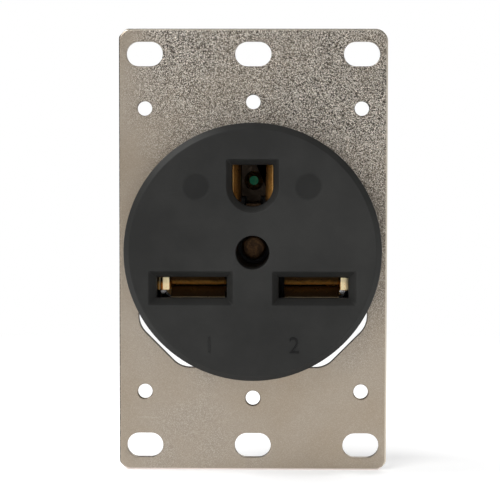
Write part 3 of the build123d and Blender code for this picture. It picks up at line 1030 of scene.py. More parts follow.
@dataclass(frozen=True)
class ContactFinish(SheetMetalFinish):
    """Contact brass, with painted highlights and painted shade on its edges, leaves and depths.

    Attributes:
        cut: Colour of the sheared front edges: fresh metal, with a painted highlight where they
            face the front.
        rub_marks_and_throat_light: Colour painted beside the gap: a highlight by default, shade
            where dark.
        deep: Colour that takes over deep in the moulding: plain brass by default, painted shade
            where dark.
        deep_span: Depths in metres between which the deep colour takes over.
        painted_shade_colour: Colour of the painted shade.
        upward_shade: Strength of the painted shade on faces that look up.
        low: Height in metres below which the front gets painted shade too, and its strength there.
        shaded: Strength of the painted shade on the leaf at negative X.
        gap: Axis across the leaves, the middle between them and half their gap, in metres.
        lip: How far from the gap the painted shade on the leaves reaches full strength, in metres.
        cut_depth: Depth in metres up to which an edge that faces the front is bright.
        metal: How metallic the brass is.
    """

    cut: Colour = (1.0, 0.85, 0.52)
    rub_marks_and_throat_light: Colour = (1.0, 0.48, 0.10)
    deep: Colour = (0.86, 0.52, 0.20)
    deep_span: Pair = (0.001, 0.005)
    painted_shade_colour: Colour = (0.018, 0.010, 0.005)
    upward_shade: float = 0.96
    low: Pair = (-0.0085, 0.75)
    shaded: float = 0.0
    gap: tuple[str, float, float] = ("Z", -0.00745, 0.0002)
    lip: float = 0.00115
    cut_depth: float = -0.0035
    metal: float = 0.55

    def paint(self) -> Material:
        """Make the material.

        Returns:
            The material.
        """
        sheet = NodeSheet(self.name)
        colour, rough = self.body(sheet)
        depth, height = sheet.axis("Y"), sheet.axis("Z")
        wander = sheet.spread(sheet.noise(700.0, 3.0, 0.6), (0.3, -0.0002), (0.7, 0.0002))
        axis, middle, half_gap = self.gap
        beside = sheet.apart(sheet.axis(axis), middle)
        beside = sheet.plus(beside, wander)
        # Painted shade on the leaves away from the gap, towards their lips.
        lip_shade = sheet.spread(beside, (half_gap + 0.0005, 0.0), (half_gap + self.lip, 0.90))
        colour = sheet.blend(lip_shade, colour, self.painted_shade_colour)
        # Painted highlight beside the gap at the throat; a dark colour there paints shade instead.
        rub_marks_and_throat_light = sheet.spread(beside, (half_gap + 0.0008, 0.0), (half_gap + 0.0003, 0.9))
        colour = sheet.blend(rub_marks_and_throat_light, colour, self.rub_marks_and_throat_light)
        # Painted shade on faces that look up, on the leaf at negative X and below a height.
        upward = sheet.facing("Z")
        upward_shade = sheet.spread(upward, (0.2, 0.0), (0.7, self.upward_shade))
        shaded = sheet.spread(sheet.axis("X"), (0.001, 0.0), (-0.001, self.shaded))
        upward_shade = sheet.larger(upward_shade, shaded)
        low, strength = self.low
        below = sheet.spread(height, (low, 0.0), (low - 0.0005, strength))
        painted_shade_share = sheet.larger(upward_shade, below)
        colour = sheet.blend(painted_shade_share, colour, self.painted_shade_colour)
        # Deep in the moulding the deep colour takes over: plain brass in the blades, painted shade
        # in the ground.
        deep = sheet.spread(depth, (self.deep_span[0], 0.0), (self.deep_span[1], 1.0))
        colour = sheet.blend(deep, colour, self.deep)
        # Sheared edges that face the front: bright fresh metal plus a painted highlight from the
        # frontal light.
        towards = sheet.facing("Y")
        front = sheet.spread(towards, (-0.86, 0.0), (-0.97, 1.0))
        front = sheet.times(front, sheet.rest(painted_shade_share))
        near = sheet.spread(depth, (self.cut_depth + 0.0004, 0.0), (self.cut_depth - 0.0004, 1.0))
        sheared = sheet.noise(1.0, 2.0, 0.6, sheet.mapped((3800.0, 500.0, 900.0)))
        bright = sheet.times(front, sheet.spread(sheared, (0.3, 1.0), (0.75, 0.75)))
        colour = sheet.blend(sheet.times(bright, near), colour, self.cut)
        sheet.set(Base_Color=colour, Metallic=self.metal, Roughness=rough)
        return sheet.material


@dataclass(frozen=True)
class DyedPlatingFinish:
    """Green-dyed plating on a screw, thinner and brassy where the thread has been rubbing.

    Attributes:
        dye: Colour of the dyed plating.
        wear_and_highlight: Colour where the plating is thinned by use.
        thread: Colour of the oily thread and the taper below it.
        axis: Place of the screw's axis (x, z), in metres.
        slot_floor: Depth of the floor of the driver slot, which gets painted shade, in metres.
    """

    dye: Colour = (0.004, 0.110, 0.052)
    wear_and_highlight: Colour = (0.11, 0.17, 0.08)
    thread: Colour = (0.260, 0.145, 0.050)
    axis: Pair = (0.0, 0.01475)
    slot_floor: float = 0.0217

    def paint(self) -> Material:
        """Make the material.

        Returns:
            The material.
        """
        sheet = NodeSheet("green_dyed_plating")
        patches = sheet.spread(sheet.noise(900.0, 4.0, 0.65), (0.52, 0.0), (0.72, 0.7))
        outside = sheet.spread(sheet.distance(self.axis), (0.00096, 0.0), (0.00104, 1.0))
        shank = sheet.spread(sheet.axis("Y"), (0.0203, 0.0), (0.0200, 1.0))
        thread = sheet.times(outside, shank)
        fine = sheet.noise(4200.0, 2.0, 0.6)
        colour = sheet.blend(patches, self.dye, self.wear_and_highlight)
        # The driver slot's floor gets painted shade.
        colour = sheet.shade_slot_floor(sheet.blend(thread, colour, self.thread), self.slot_floor)
        rough = sheet.spread(fine, (0.3, 0.24), (0.7, 0.4))
        sheet.set(Base_Color=colour, Metallic=0.75, Roughness=rough)
        sheet.relief((fine, 0.000006))
        return sheet.material


@dataclass(frozen=True)
class DullRivetFinish:
    """Copper-brown rivet with mottled oxide and scuffs where it was struck.

    Attributes:
        oxide: Colour of the oxide.
        bare_metal_and_edge_shade: Colour where the copper shows through.
    """

    oxide: Colour = (0.120, 0.066, 0.032)
    bare_metal_and_edge_shade: Colour = (0.370, 0.190, 0.076)

    def paint(self) -> Material:
        """Make the material.

        Returns:
            The material.
        """
        sheet = NodeSheet("dull_copper_rivet")
        mottle = sheet.noise(1100.0, 5.0, 0.7)
        shown = sheet.spread(mottle, (0.46, 0.0), (0.74, 1.0))
        colour = sheet.blend(shown, self.oxide, self.bare_metal_and_edge_shade)
        rough = sheet.spread(mottle, (0.35, 0.42), (0.7, 0.30))
        sheet.set(Base_Color=colour, Metallic=0.7, Roughness=rough)
        sheet.relief((mottle, 0.00006), (sheet.noise(5200.0), 0.000010))
        return sheet.material


@dataclass(frozen=True)
class FloorFinish:
    """Pale floor that is near white to the camera and still takes the object's shadow.

    Attributes:
        paper: Colour of the floor.
        fibre: Colour of the fibres in it.
        glow: Light that the camera and mirrors see on top of it.
        fade: Distances in metres between which the floor turns plain white to the camera.
    """

    paper: Colour = (0.80, 0.80, 0.80)
    fibre: Colour = (0.74, 0.74, 0.74)
    glow: float = 0.42
    fade: Pair = (0.10, 0.30)

    def paint(self) -> Material:
        """Make the material.

        Returns:
            The material.
        """
        sheet = NodeSheet("pale_floor")
        seen = sheet.ray("Camera", "Glossy")
        node = sheet.tree.nodes.new("ShaderNodeVectorMath")
        node.operation = "LENGTH"
        sheet.link(sheet.place, node.inputs[0])
        away = sheet.spread(node.outputs["Value"], (self.fade[0], 0.0), (self.fade[1], 1.0))
        plain = sheet.times(away, seen)
        fibres = sheet.spread(sheet.noise(300.0, 3.0, 0.5), (0.3, 0.0), (0.7, 0.05))
        paper = sheet.blend(fibres, self.paper, self.fibre)
        colour = sheet.blend(plain, paper, (0.0, 0.0, 0.0))
        sheet.set(Base_Color=colour, Roughness=0.85, Specular_IOR_Level=0.0)
        glow = sheet.times(seen, sheet.spread(away, (0.0, self.glow), (1.0, 1.0)))
        sheet.set(Emission_Color=(1.0, 1.0, 1.0), Emission_Strength=glow)
        return sheet.material


class Finishes:
    """Every finish of the receptacle, painted once and shared by its pieces."""

    def __init__(self) -> None:
        """Paint the materials."""
        self.plated_sheet = PlatedSheetFinish().paint()
        self.face = MouldedFinish("matt_black_face", disk=(0.0117, 0.0138)).paint()
        self.base = MouldedFinish(
            "satin_black_base", rough=0.38, grain=0.000006, gloss=0.38
        ).paint()
        self.numerals = MouldedFinish(
            "numeral_tops", (0.008, 0.008, 0.008), grain=0.000003, gloss=0.14
        ).paint()
        self.blade_contact = ContactFinish(
            "blade_contact_brass", (0.84, 0.44, 0.11), (0.52, 0.25, 0.055), 0.30, 0.35
        ).paint()
        # Ground contact: its dark deep colour, dark throat colour, low band and shaded leaf are
        # painted shade.
        self.ground_contact = ContactFinish(
            "ground_contact_brass", (0.88, 0.44, 0.11), (0.58, 0.26, 0.065), 0.28, 0.35,
            cut=(0.62, 0.36, 0.12), rub_marks_and_throat_light=(0.30, 0.14, 0.035), deep=(0.036, 0.019, 0.006),
            deep_span=(0.0, 0.006), low=(0.0111, 0.70), shaded=0.45,
            gap=("X", 0.0, 0.0027), lip=0.9,
        ).paint()
        self.spring = SheetMetalFinish(
            "spring_steel", (0.50, 0.50, 0.50), (0.26, 0.25, 0.24), 0.22, 0.3
        ).paint()
        self.screw = SheetMetalFinish(
            "turned_brass", (0.83, 0.60, 0.27), (0.52, 0.33, 0.12), 0.2, 0.25,
            streaks=(900.0, 2600.0, 900.0), slot_floor=0.0217,
        ).paint()
        self.zinc = SheetMetalFinish(
            "zinc_plate", (0.60, 0.60, 0.59), (0.36, 0.36, 0.35), 0.3, 0.35, slot_floor=0.0152
        ).paint()
        self.green = DyedPlatingFinish().paint()
        self.rivet = DullRivetFinish().paint()
        self.floor = FloorFinish().paint()


# Sub-assemblies


@dataclass(frozen=True)
class Strap:
    """Pressed steel strap: rolled front edges, a window, fixing slots and tapped cover holes.

    Attributes:
        width: Size along X.
        height: Size along Z.
        thickness: Thickness of the sheet.
        corner_cuts: Cut on each corner of the sheet, counter-clockwise from the lower right.
        corner_rounds: Round beside each cut.
        roll: Round that the press leaves on the front of the outer edge.
        hole_roll: Round on the front of each opening.
        burr_round: Round on the rear of every edge.
        box_spacing: Places of the outer fixing slots from the middle (x, z).
        slot_size: Length and height of a fixing slot.
        hole_diameter: Diameter of a cover hole.
        corner_hole_z: Height of the four outer cover holes from the middle.
        middle_hole_z: Height of the two middle ones.
        window_size: Width and height of the window.
        window_cuts: Cuts on the window's lower and upper corners.
        window_rounds: Rounds beside them, lower and upper.
        thread_pitch: Pitch of the tapped cover holes.
        thread_depth: Depth of their thread.
        mouth_length: Depth over which a tapped hole flares at each mouth.
        mouth_flare: How far it flares, in thread depths.
    """

    width: float = 57.0
    height: float = 94.0
    thickness: float = 1.6
    corner_cuts: tuple[float, ...] = (1.6, 1.55, 1.6, 1.6)
    corner_rounds: tuple[float, ...] = (1.3, 2.55, 1.3, 1.3)
    roll: float = 0.46
    hole_roll: float = 0.16
    burr_round: float = 0.06
    box_spacing: Pair = (23.02, 41.67)
    slot_size: Pair = (7.7, 5.2)
    hole_diameter: float = 3.05
    corner_hole_z: float = 30.15
    middle_hole_z: float = 31.55
    window_size: Pair = (48.6, 49.9)
    window_cuts: Pair = (8.9, 14.6)
    window_rounds: Pair = (5.0, 1.0)
    thread_pitch: float = 0.75
    thread_depth: float = 0.16
    mouth_length: float = 0.22
    mouth_flare: float = 1.25

    def outline(self) -> Array:
        """Outer outline: a rectangle with cut corners.

        Returns:
            Points of shape (n, 2).
        """
        corners = cut_corners(self.width / 2, self.height / 2, self.corner_cuts)
        return rounded_outline(corners, np.repeat(self.corner_rounds, 2))

    def window(self) -> Array:
        """Window outline: an octagon with wide round corners below.

        Returns:
            Points of shape (n, 2).
        """
        width, height = self.window_size
        low, high = self.window_cuts
        round_low, round_high = self.window_rounds
        rounds = np.repeat((round_low, round_high, round_high, round_low), 2)
        return rounded_outline(cut_corners(width / 2, height / 2, (low, high, high, low)), rounds)

    def fixing_slots(self) -> list[Array]:
        """Outlines of the six fixing slots, flat sides with half-round ends.

        Returns:
            Six outlines of shape (n, 2).
        """
        step_x, step_z = self.box_spacing
        half_x, half_z = self.slot_size[0] / 2, self.slot_size[1] / 2
        centres = [(x, z) for z in (-step_z, step_z) for x in (-step_x, 0.0, step_x)]
        return [
            rectangle((x - half_x, x + half_x), (z - half_z, z + half_z), half_z - 0.001, 16)
            for x, z in centres
        ]

    def cover_holes(self) -> list[Pair]:
        """Centres of the six tapped holes.

        Returns:
            Pairs of x and z.
        """
        corners = [(x, z) for x in (-self.box_spacing[0], self.box_spacing[0])
                   for z in (-self.corner_hole_z, self.corner_hole_z)]
        return [*corners, (0.0, -self.middle_hole_z), (0.0, self.middle_hole_z)]

    def tapped_wall(self, centre: Pair, rows: int = 34, columns: int = 72) -> Array:
        """Wall of a tapped hole.

        The radius is the hole's plus the thread depth times a triangle wave of the depth over
        the pitch plus the angle over a full turn, and it flares by the depth at both mouths.

        Args:
            centre: Centre of the hole.
            rows: Rows along the depth.
            columns: Columns round the hole.

        Returns:
            Rings of shape (rows, columns, 3), from the front to the rear.
        """
        along = np.linspace(0, 1, rows)[:, None]
        angle = np.linspace(0, FULL_TURN, columns, endpoint=False)[None, :]
        phase = along * self.thickness / self.thread_pitch + angle / FULL_TURN
        wave = 1 - np.abs(2 * (phase % 1) - 1)
        from_end = np.minimum(along, 1 - along) * self.thickness
        mouth = np.clip(1 - from_end / self.mouth_length, 0, 1)
        depth = np.maximum(wave * (1 - mouth), mouth * self.mouth_flare) * self.thread_depth
        radius = self.hole_diameter / 2 + depth
        x = centre[0] + radius * np.cos(angle)
        z = centre[1] + radius * np.sin(angle)
        y = np.broadcast_to(-self.thickness + along * self.thickness, x.shape)
        return np.stack((x, y, z), -1)

    def build(self, finishes: Finishes) -> None:
        """Build the strap as one closed shell and install it.

        Args:
            finishes: The painted materials.
        """
        front, rear = -self.thickness, 0.0
        shell = Shell()
        outer_edge = edge_arc(self.roll, front, 1, EdgeSide.PLATE, 7)
        outer_edge += edge_arc(self.burr_round, rear, -1, EdgeSide.PLATE, 2)[::-1]
        outer = swept(self.outline(), outer_edge)
        shell.grid(outer)
        hole_edge = edge_arc(self.hole_roll, front, 1, EdgeSide.HOLE, 4)
        hole_edge += edge_arc(self.burr_round, rear, -1, EdgeSide.HOLE, 2)[::-1]
        walls = [swept(outline, hole_edge) for outline in (self.window(), *self.fixing_slots())]
        walls += [self.tapped_wall(centre) for centre in self.cover_holes()]
        for wall in walls:
            shell.grid(wall)
        shell.cap(outer[0], [wall[0] for wall in walls])
        shell.cap(outer[-1], [wall[-1] for wall in walls])
        piece = shell.build("strap_plate")
        even_normals(piece)
        install(piece, finishes.plated_sheet, "plated_steel", "strap")


@dataclass(frozen=True)
class FaceMoulding:
    """Front moulding: disc, collar, boss, two bevelled blade mouths, the ground mouth and the well.

    Attributes:
        front: Depth of the disc's front.
        disc_rear: Depth of the disc's rear, on the strap.
        collar_rear: Depth of the collar's rear.
        diameter: Diameter of the disc.
        rim_chamfer: Chamfer of the disc's rim.
        soft: Round on the moulding's edges.
        slot_x: Span of a blade slot along X, on the right.
        slot_z: Its span along Z.
        slot_bevels: Width of a slot's bevel, inwards and above and below, and outwards.
        slot_bevel_depth: Depth of that bevel.
        chamber_x: Span along X of the chamber behind a slot, on the right.
        chamber_z: Its span along Z.
        chamber_front: Depth where the chambers start.
        ground_half_width: Half the width of the ground mouth.
        ground_top: Height of its flat top.
        ground_bottom: Height of its round bottom.
        ground_bevel: Width of its bevel.
        ground_bevel_depth: Depth of that bevel.
        ground_room_x: Half the width of the room behind it.
        ground_room_z: Span of that room along Z.
        well_diameter: Diameter of the well in the middle.
        well_floor: Depth of its floor.
        boss_diameter: Diameter of the boss round the well.
        boss_rear: Depth of the boss's rear.
        rivet_hole: Diameter of the hole through the well's floor.
        mark_centre: Centre of the round mark on the right (x, z).
        mark_diameter: Diameter of the marks.
        mark_depth: How far they are sunk.
        pilot_diameter: Diameter of the assembly screws' pilot holes.
        pilot_front: Depth of their blind end.
        collar_size: Half the width and half the height of the collar.
        collar_cut: Cut on each of its corners.
        collar_round: Round beside each cut.
    """

    front: float = -10.0
    disc_rear: float = -1.6
    collar_rear: float = -0.1
    diameter: float = 54.0
    rim_chamfer: float = 1.25
    soft: float = 0.16
    slot_x: Pair = (5.425, 20.075)
    slot_z: Pair = (-9.65, -5.25)
    slot_bevels: Pair = (1.4, 1.7)
    slot_bevel_depth: float = 2.2
    chamber_x: Pair = (5.45, 20.7)
    chamber_z: Pair = (-11.75, -3.15)
    chamber_front: float = -5.6
    ground_half_width: float = 4.3
    ground_top: float = 18.25
    ground_bottom: float = 9.5
    ground_bevel: float = 1.25
    ground_bevel_depth: float = 2.0
    ground_room_x: float = 5.7
    ground_room_z: Pair = (7.65, 20.2)
    well_diameter: float = 7.0
    well_floor: float = 13.5
    boss_diameter: float = 10.0
    boss_rear: float = 15.5
    rivet_hole: float = 3.2
    mark_centre: Pair = (11.7, 13.8)
    mark_diameter: float = 5.5
    mark_depth: float = 0.15
    pilot_diameter: float = 3.0
    pilot_front: float = -8.3
    collar_size: Pair = (23.95, 24.75)
    collar_cut: float = 14.395
    collar_round: float = 0.8

    def bevel_steps(self, bevel_depth: float) -> list[Pair]:
        """Shares of a mouth's bevel that its rings have come inwards, each with the ring's depth.

        Both ends of the straight bevel are eased, and the last ring is where the chamber starts.

        Args:
            bevel_depth: Depth of the bevel.

        Returns:
            Pairs of the share and the depth, from the front.
        """
        share = (-0.08, 0.0, 0.10, 0.22, 0.80, 0.92, 1.0, 1.0)
        depth = np.array((0.0, 0.01, 0.075, 0.19, 0.79, 0.91, 1.05, 0.0)) * bevel_depth + self.front
        depth[-1] = self.chamber_front
        return list(zip(share, depth.tolist()))

    def blade_mouth(self, side: float) -> Array:
        """Surface of one blade mouth, from the face into its chamber.

        Rings go from the face over a small round, down the bevel, over the inner round, along the
        slot, out to the chamber's wall and back to the collar's rear. The outer end has the wider
        bevel, so each ring is a rectangle of its own and not a plain shift.

        Args:
            side: 1 for the right-hand mouth, -1 for the left-hand one.

        Returns:
            Rings of shape (rows, columns, 3), from the front to the rear.
        """
        inner_bevel, outer_bevel = self.slot_bevels
        rings = []
        for part, y in self.bevel_steps(self.slot_bevel_depth):
            left = 1 - part
            x = (self.slot_x[0] - inner_bevel * left, self.slot_x[1] + outer_bevel * left)
            z = (self.slot_z[0] - inner_bevel * left, self.slot_z[1] + inner_bevel * left)
            rings.append((x, z, 0.12 + 0.25 * left, y))
        rings.append((self.chamber_x, self.chamber_z, 0.3, self.chamber_front))
        rings.append((self.chamber_x, self.chamber_z, 0.3, self.collar_rear))
        outlines = []
        for x, z, corner, y in rings:
            span = x if side > 0 else (-x[1], -x[0])
            outlines.append(ring(rectangle(span, z, corner, 6), y))
        return np.stack(outlines)

    def ground_mouth(self) -> Array:
        """Surface of the ground mouth and its room: flat top, straight sides, half-round bottom.

        Returns:
            Rings of shape (rows, columns, 3), from the front to the rear.
        """
        outlines = []
        for part, y in self.bevel_steps(self.ground_bevel_depth):
            grow = self.ground_bevel * (1 - part)
            x = self.ground_half_width + grow
            top, low = self.ground_top + grow, self.ground_bottom - grow
            corners = [(-x, low), (x, low), (x, top), (-x, top)]
            radii = [x - 0.01, x - 0.01, 0.35, 0.35]
            outlines.append(ring(rounded_outline(corners, radii, 14), y))
        for y in (self.chamber_front, self.collar_rear):
            room = rectangle((-self.ground_room_x, self.ground_room_x), self.ground_room_z, 0.3, 14)
            outlines.append(ring(room, y))
        return np.stack(outlines)

    def rim(self) -> Array:
        """Surface of the disc's rim: a chamfer with both ends eased, then the rear's round.

        Returns:
            Rings of shape (rows, columns, 3), from the front to the rear.
        """
        low = self.front + self.rim_chamfer
        profile = [
            (-self.rim_chamfer - 0.12, self.front), (-self.rim_chamfer, self.front + 0.03),
            (-self.rim_chamfer + 0.13, self.front + 0.13),
            (-0.16, low - 0.12), (-0.04, low + 0.03), (0.0, low + 0.2),
        ]
        profile += edge_arc(self.soft, self.disc_rear, -1, EdgeSide.PLATE, 3)[::-1]
        return swept(circle((0, 0), self.diameter, 256), profile)

    def collar(self) -> Array:
        """Surface of the collar that passes through the strap's window.

        Returns:
            Rings of shape (rows, columns, 3), from the front to the rear.
        """
        corners = cut_corners(*self.collar_size, [self.collar_cut] * 4)
        outline = rounded_outline(corners, [self.collar_round] * 8, 5)
        edge = edge_arc(self.soft, self.collar_rear, -1, EdgeSide.PLATE, 3)[::-1]
        return swept(outline, [(0.0, self.disc_rear), *edge])

    def bored(self, centre: Pair, diameter: float, depths: Pair, count: int = 48) -> Array:
        """Straight wall of a round hole between two depths."""
        return swept(circle(centre, diameter, count), [(0.0, depth) for depth in depths])

    def marks(self, centres: Sequence[Pair]) -> list[Array]:
        """Walls of the marks: rings that come inwards as they sink by a share of the depth.

        Args:
            centres: Centres of the marks (x, z).

        Returns:
            One array of rings for each mark.
        """
        fall = ((0.34, 0.0), (0.17, 0.12), (-0.17, 0.88), (-0.34, 1.0))
        edge = [(shift, self.front + self.mark_depth * part) for shift, part in fall]
        return [swept(circle(centre, self.mark_diameter, 72), edge) for centre in centres]

    def build(self, finishes: Finishes) -> None:
        """Build the moulding as one closed shell and install it.

        Args:
            finishes: The painted materials.
        """
        shell = Shell()
        rim, collar = self.rim(), self.collar()
        well_edge = [*edge_arc(0.2, self.front, 1, EdgeSide.HOLE, 4), (0.0, self.well_floor)]
        well = swept(circle((0, 0), self.well_diameter, 96), well_edge)
        hole = self.bored((0, 0), self.rivet_hole, (self.well_floor, self.boss_rear))
        boss_edge = edge_arc(0.3, self.boss_rear, -1, EdgeSide.PLATE, 3)[::-1]
        boss_edge = [(0.0, self.collar_rear), *boss_edge]
        boss = swept(circle((0, 0), self.boss_diameter, 96), boss_edge)
        mouths = [self.blade_mouth(1), self.blade_mouth(-1), self.ground_mouth()]
        x, z = self.mark_centre
        centres = ((-x, z), (x, z))
        marks = self.marks(centres)
        pilot_span = (self.pilot_front, self.collar_rear)
        pilots = [self.bored(centre, self.pilot_diameter, pilot_span) for centre in centres]
        for surface in (rim, collar, well, hole, boss, *mouths, *marks, *pilots):
            shell.grid(surface)
        shell.cap(rim[0], [opening[0] for opening in (well, *mouths, *marks)])
        shell.cap(rim[-1], [collar[0]])
        shell.cap(collar[-1], [boss[0], *[opening[-1] for opening in (*mouths, *pilots)]])
        shell.cap(boss[-1], [hole[-1]])
        shell.cap(well[-1], [hole[0]])
        for mark in marks:
            shell.cap(mark[-1])
        for pilot in pilots:
            shell.cap(pilot[0])
        piece = shell.build("face_moulding", 50.0)
        even_normals(piece)
        install(piece, finishes.face, "black_plastic", "face")


@dataclass(frozen=True)
class TerminalNumeral:
    """Plain raised numeral beside a blade slot.

    Attributes:
        text: The numeral.
        centre: Its middle on the face.
        height: Height of the figure.
        relief: How far it stands off the face.
        face: Depth of the face.
        sunk: How far its foot reaches into the face.
        draft: How much wider its foot is than its middle, and its top narrower, as a share.
    """

    text: str
    centre: Pair
    height: float = 3.35
    relief: float = 0.12
    face: float = -10.0
    sunk: float = 0.05
    draft: float = 0.03

    def build(self, finishes: Finishes) -> None:
        """Turn the figure's outline into a mesh, stand it on the face and install it.

        Args:
            finishes: The painted materials.
        """
        curve = bpy.data.curves.new(f"numeral_{self.text}", "FONT")
        curve.body = self.text
        curve.align_x, curve.align_y = "CENTER", "CENTER"
        curve.size = 1.0
        curve.extrude = 0.5
        curve.resolution_u = 8
        holder = bpy.data.objects.new("numeral_curve", curve)
        bpy.context.scene.collection.objects.link(holder)
        bpy.context.view_layer.update()
        mesh = bpy.data.meshes.new_from_object(holder)
        bpy.data.objects.remove(holder)
        points = np.empty(len(mesh.vertices) * 3)
        mesh.vertices.foreach_get("co", points)
        points = points.reshape(-1, 3)
        low, high = points.min(0), points.max(0)
        scale = self.height / (high[1] - low[1])
        middle = (low + high) / 2
        flat = (points - middle) * scale
        taper = np.where(points[:, 2] > middle[2], 1 - self.draft, 1 + self.draft)
        x = self.centre[0] + flat[:, 0] * taper
        z = self.centre[1] + flat[:, 1] * taper
        rise = (points[:, 2] - low[2]) / (high[2] - low[2])
        y = self.face + self.sunk - rise * (self.relief + self.sunk)
        mesh.vertices.foreach_set("co", (np.stack((x, y, z), -1) * METRES).ravel())
        piece = finished(f"numeral_{self.text}", mesh, 35.0)
        install(piece, finishes.numerals, "black_plastic")


@dataclass(frozen=True)
class SlottedScrew:
    """Screw along Y with a real thread, a tapered tip and a slotted head.

    Attributes:
        node: CAD node that it stands for.
        centre: Place of its axis (x, z).
        tip: Depth of its tip.
        seat: Depth of the head's underside.
        diameter: Outer diameter of the thread.
        pitch: Pitch of the thread.
        thread_depth: Depth of the thread.
        tip_diameter: Diameter of the flat tip.
        tip_length: Length of the tapered tip.
        head_diameter: Diameter of the head.
        head_height: Height of the head.
        head_rim: Height of the head's straight rim.
        slot_width: Width of the driver slot.
        slot_depth: Depth of the driver slot.
        slot_turn: Turn of the driver slot, in degrees.
    """

    node: str
    centre: Pair
    tip: float = 13.3
    seat: float = 20.3
    diameter: float = 4.0
    pitch: float = 0.7
    thread_depth: float = 0.36
    tip_diameter: float = 1.95
    tip_length: float = 0.8
    head_diameter: float = 7.4
    head_height: float = 2.6
    head_rim: float = 1.3
    slot_width: float = 1.1
    slot_depth: float = 1.2
    slot_turn: float = 0.0

    def thread(self, columns: int = 56, rows_per_turn: int = 12) -> Array:
        """Surface of the thread and the tapered tip.

        The radius is the outer radius less the thread depth times a rounded wave of the depth
        over the pitch plus the angle over a full turn. At the tip it may not pass a straight
        taper to the flat, and under the head the groove runs out.

        Args:
            columns: Columns round the screw.
            rows_per_turn: Rows along each pitch.

        Returns:
            Rings of shape (rows, columns, 3), from the tip to the head.
        """
        length = self.seat - self.tip
        rows = int(length / self.pitch * rows_per_turn)
        along = np.linspace(0, length, rows)[:, None]
        angle = np.linspace(0, FULL_TURN, columns, endpoint=False)[None, :]
        phase = along / self.pitch + angle / FULL_TURN
        wave = np.clip(1.25 * np.abs(2 * (phase % 1) - 1) - 0.1, 0, 1)
        run_out = np.clip((length - along) / (1.2 * self.pitch), 0, 1)
        radius = self.diameter / 2 - self.thread_depth * wave * run_out
        widening = along * (self.diameter - self.tip_diameter) / (2 * self.tip_length)
        radius = np.minimum(radius, self.tip_diameter / 2 + widening)
        x = self.centre[0] + radius * np.cos(angle)
        z = self.centre[1] + radius * np.sin(angle)
        y = np.broadcast_to(self.tip + along, x.shape)
        return np.stack((x, y, z), -1)

    def head_top(self, rows: int = 34, columns: int = 41) -> Array:
        """Domed top of the head with its driver slot, as rows of chords.

        Each row is a chord of the head at one distance from its middle line, half as long as
        sqrt(radius squared - distance squared). The height falls from the crown with the distance
        from the axis to the power 2.6, and between the slot's walls it is cut off at the floor.

        Args:
            rows: Rows on each side of the slot.
            columns: Columns along each chord.

        Returns:
            Points of shape (rows in all, columns, 3).
        """
        radius = self.head_diameter / 2
        half_slot = self.slot_width / 2
        turn = np.linspace(math.asin(half_slot / radius), QUARTER_TURN, rows)
        outer = radius * np.sin(turn)
        rows_z = np.concatenate((-outer[::-1], [-half_slot, half_slot], outer))
        cut = np.zeros(len(rows_z), bool)
        cut[rows:rows + 2] = True
        chord = np.sqrt(np.maximum(radius**2 - rows_z**2, 0))[:, None]
        u = np.sin(np.linspace(-QUARTER_TURN, QUARTER_TURN, columns))[None, :]
        x = chord * u
        z = np.broadcast_to(rows_z[:, None], x.shape)
        share = np.minimum(np.hypot(x, z) / radius, 1)
        crown = self.head_height - self.head_rim
        height = self.head_rim + crown * (1 - share**2.6)
        floor = self.head_height - self.slot_depth
        height = np.where(cut[:, None], np.minimum(height, floor), height)
        turned = math.radians(self.slot_turn)
        cosine, sine = math.cos(turned), math.sin(turned)
        across, up = x * cosine - z * sine, x * sine + z * cosine
        return np.stack((self.centre[0] + across, self.seat + height, self.centre[1] + up), -1)

    def build(self, finish: Material, slot: str) -> None:
        """Join the thread, the head and its underside into one closed shell and install it.

        Args:
            finish: The screw's material.
            slot: Name of the material slot.
        """
        shell = Shell()
        thread = self.thread()
        top = self.head_top()
        edge = np.vstack((top[:, -1], top[-2:0:-1, 0]))
        shell.grid(thread).cap(thread[0])
        shell.grid(top, closed=False)
        steps = np.linalg.norm(np.diff(edge, axis=0), axis=1)
        distinct = np.append(True, steps > WELD_DISTANCE)
        rim_loop = edge[distinct]
        axis = np.array((self.centre[0], 0.0, self.centre[1]))
        rings = []
        for pull, height in ((1.0, self.head_rim), (1.0, 0.12), (0.985, 0.03), (0.965, 0.0)):
            loop = axis + (rim_loop - axis) * pull
            loop[:, 1] = self.seat + height
            rings.append(loop)
        rings[0][:, 1] = rim_loop[:, 1]
        shell.grid(np.stack(rings))
        shell.cap(rings[-1], [thread[-1]])
        piece = shell.build(f"{self.node}_body", 38.0)
        install(piece, finish, slot, self.node)


@dataclass(frozen=True)
class TurnedPiece:
    """Piece turned about an axis along Y.

    Attributes:
        node: CAD node that it stands for.
        profile: Pairs of a radius and a depth, from one end of the axis to the other.
        ripple: How far the outer surface wanders, for a piece that was struck.
        closed: Whether the profile's end joins its start, for a piece with a hole.
    """

    node: str
    profile: tuple[Pair, ...]
    ripple: float = 0.0
    closed: bool = False

    def build(self, finish: Material, slot: str, columns: int = 96) -> None:
        """Turn the profile and install the piece.

        A point at an angle lies at its radius times one plus the ripple times a sum of two waves
        round the axis.

        Args:
            finish: The piece's material.
            slot: Name of the material slot.
            columns: Columns round the axis.
        """
        profile = np.asarray(self.profile, float)
        if self.closed:
            profile = np.vstack((profile, profile[:1]))
        angle = np.linspace(0, FULL_TURN, columns, endpoint=False)[None, :]
        wander = 1 + self.ripple * (np.sin(3 * angle + 0.7) + 0.6 * np.sin(7 * angle + 2.1))
        radius = profile[:, :1] * wander
        y = np.broadcast_to(profile[:, 1:], radius.shape)
        shell = Shell().grid(np.stack((radius * np.cos(angle), y, radius * np.sin(angle)), -1))
        piece = shell.build(f"{self.node}_body", 42.0)
        install(piece, finish, slot, self.node)


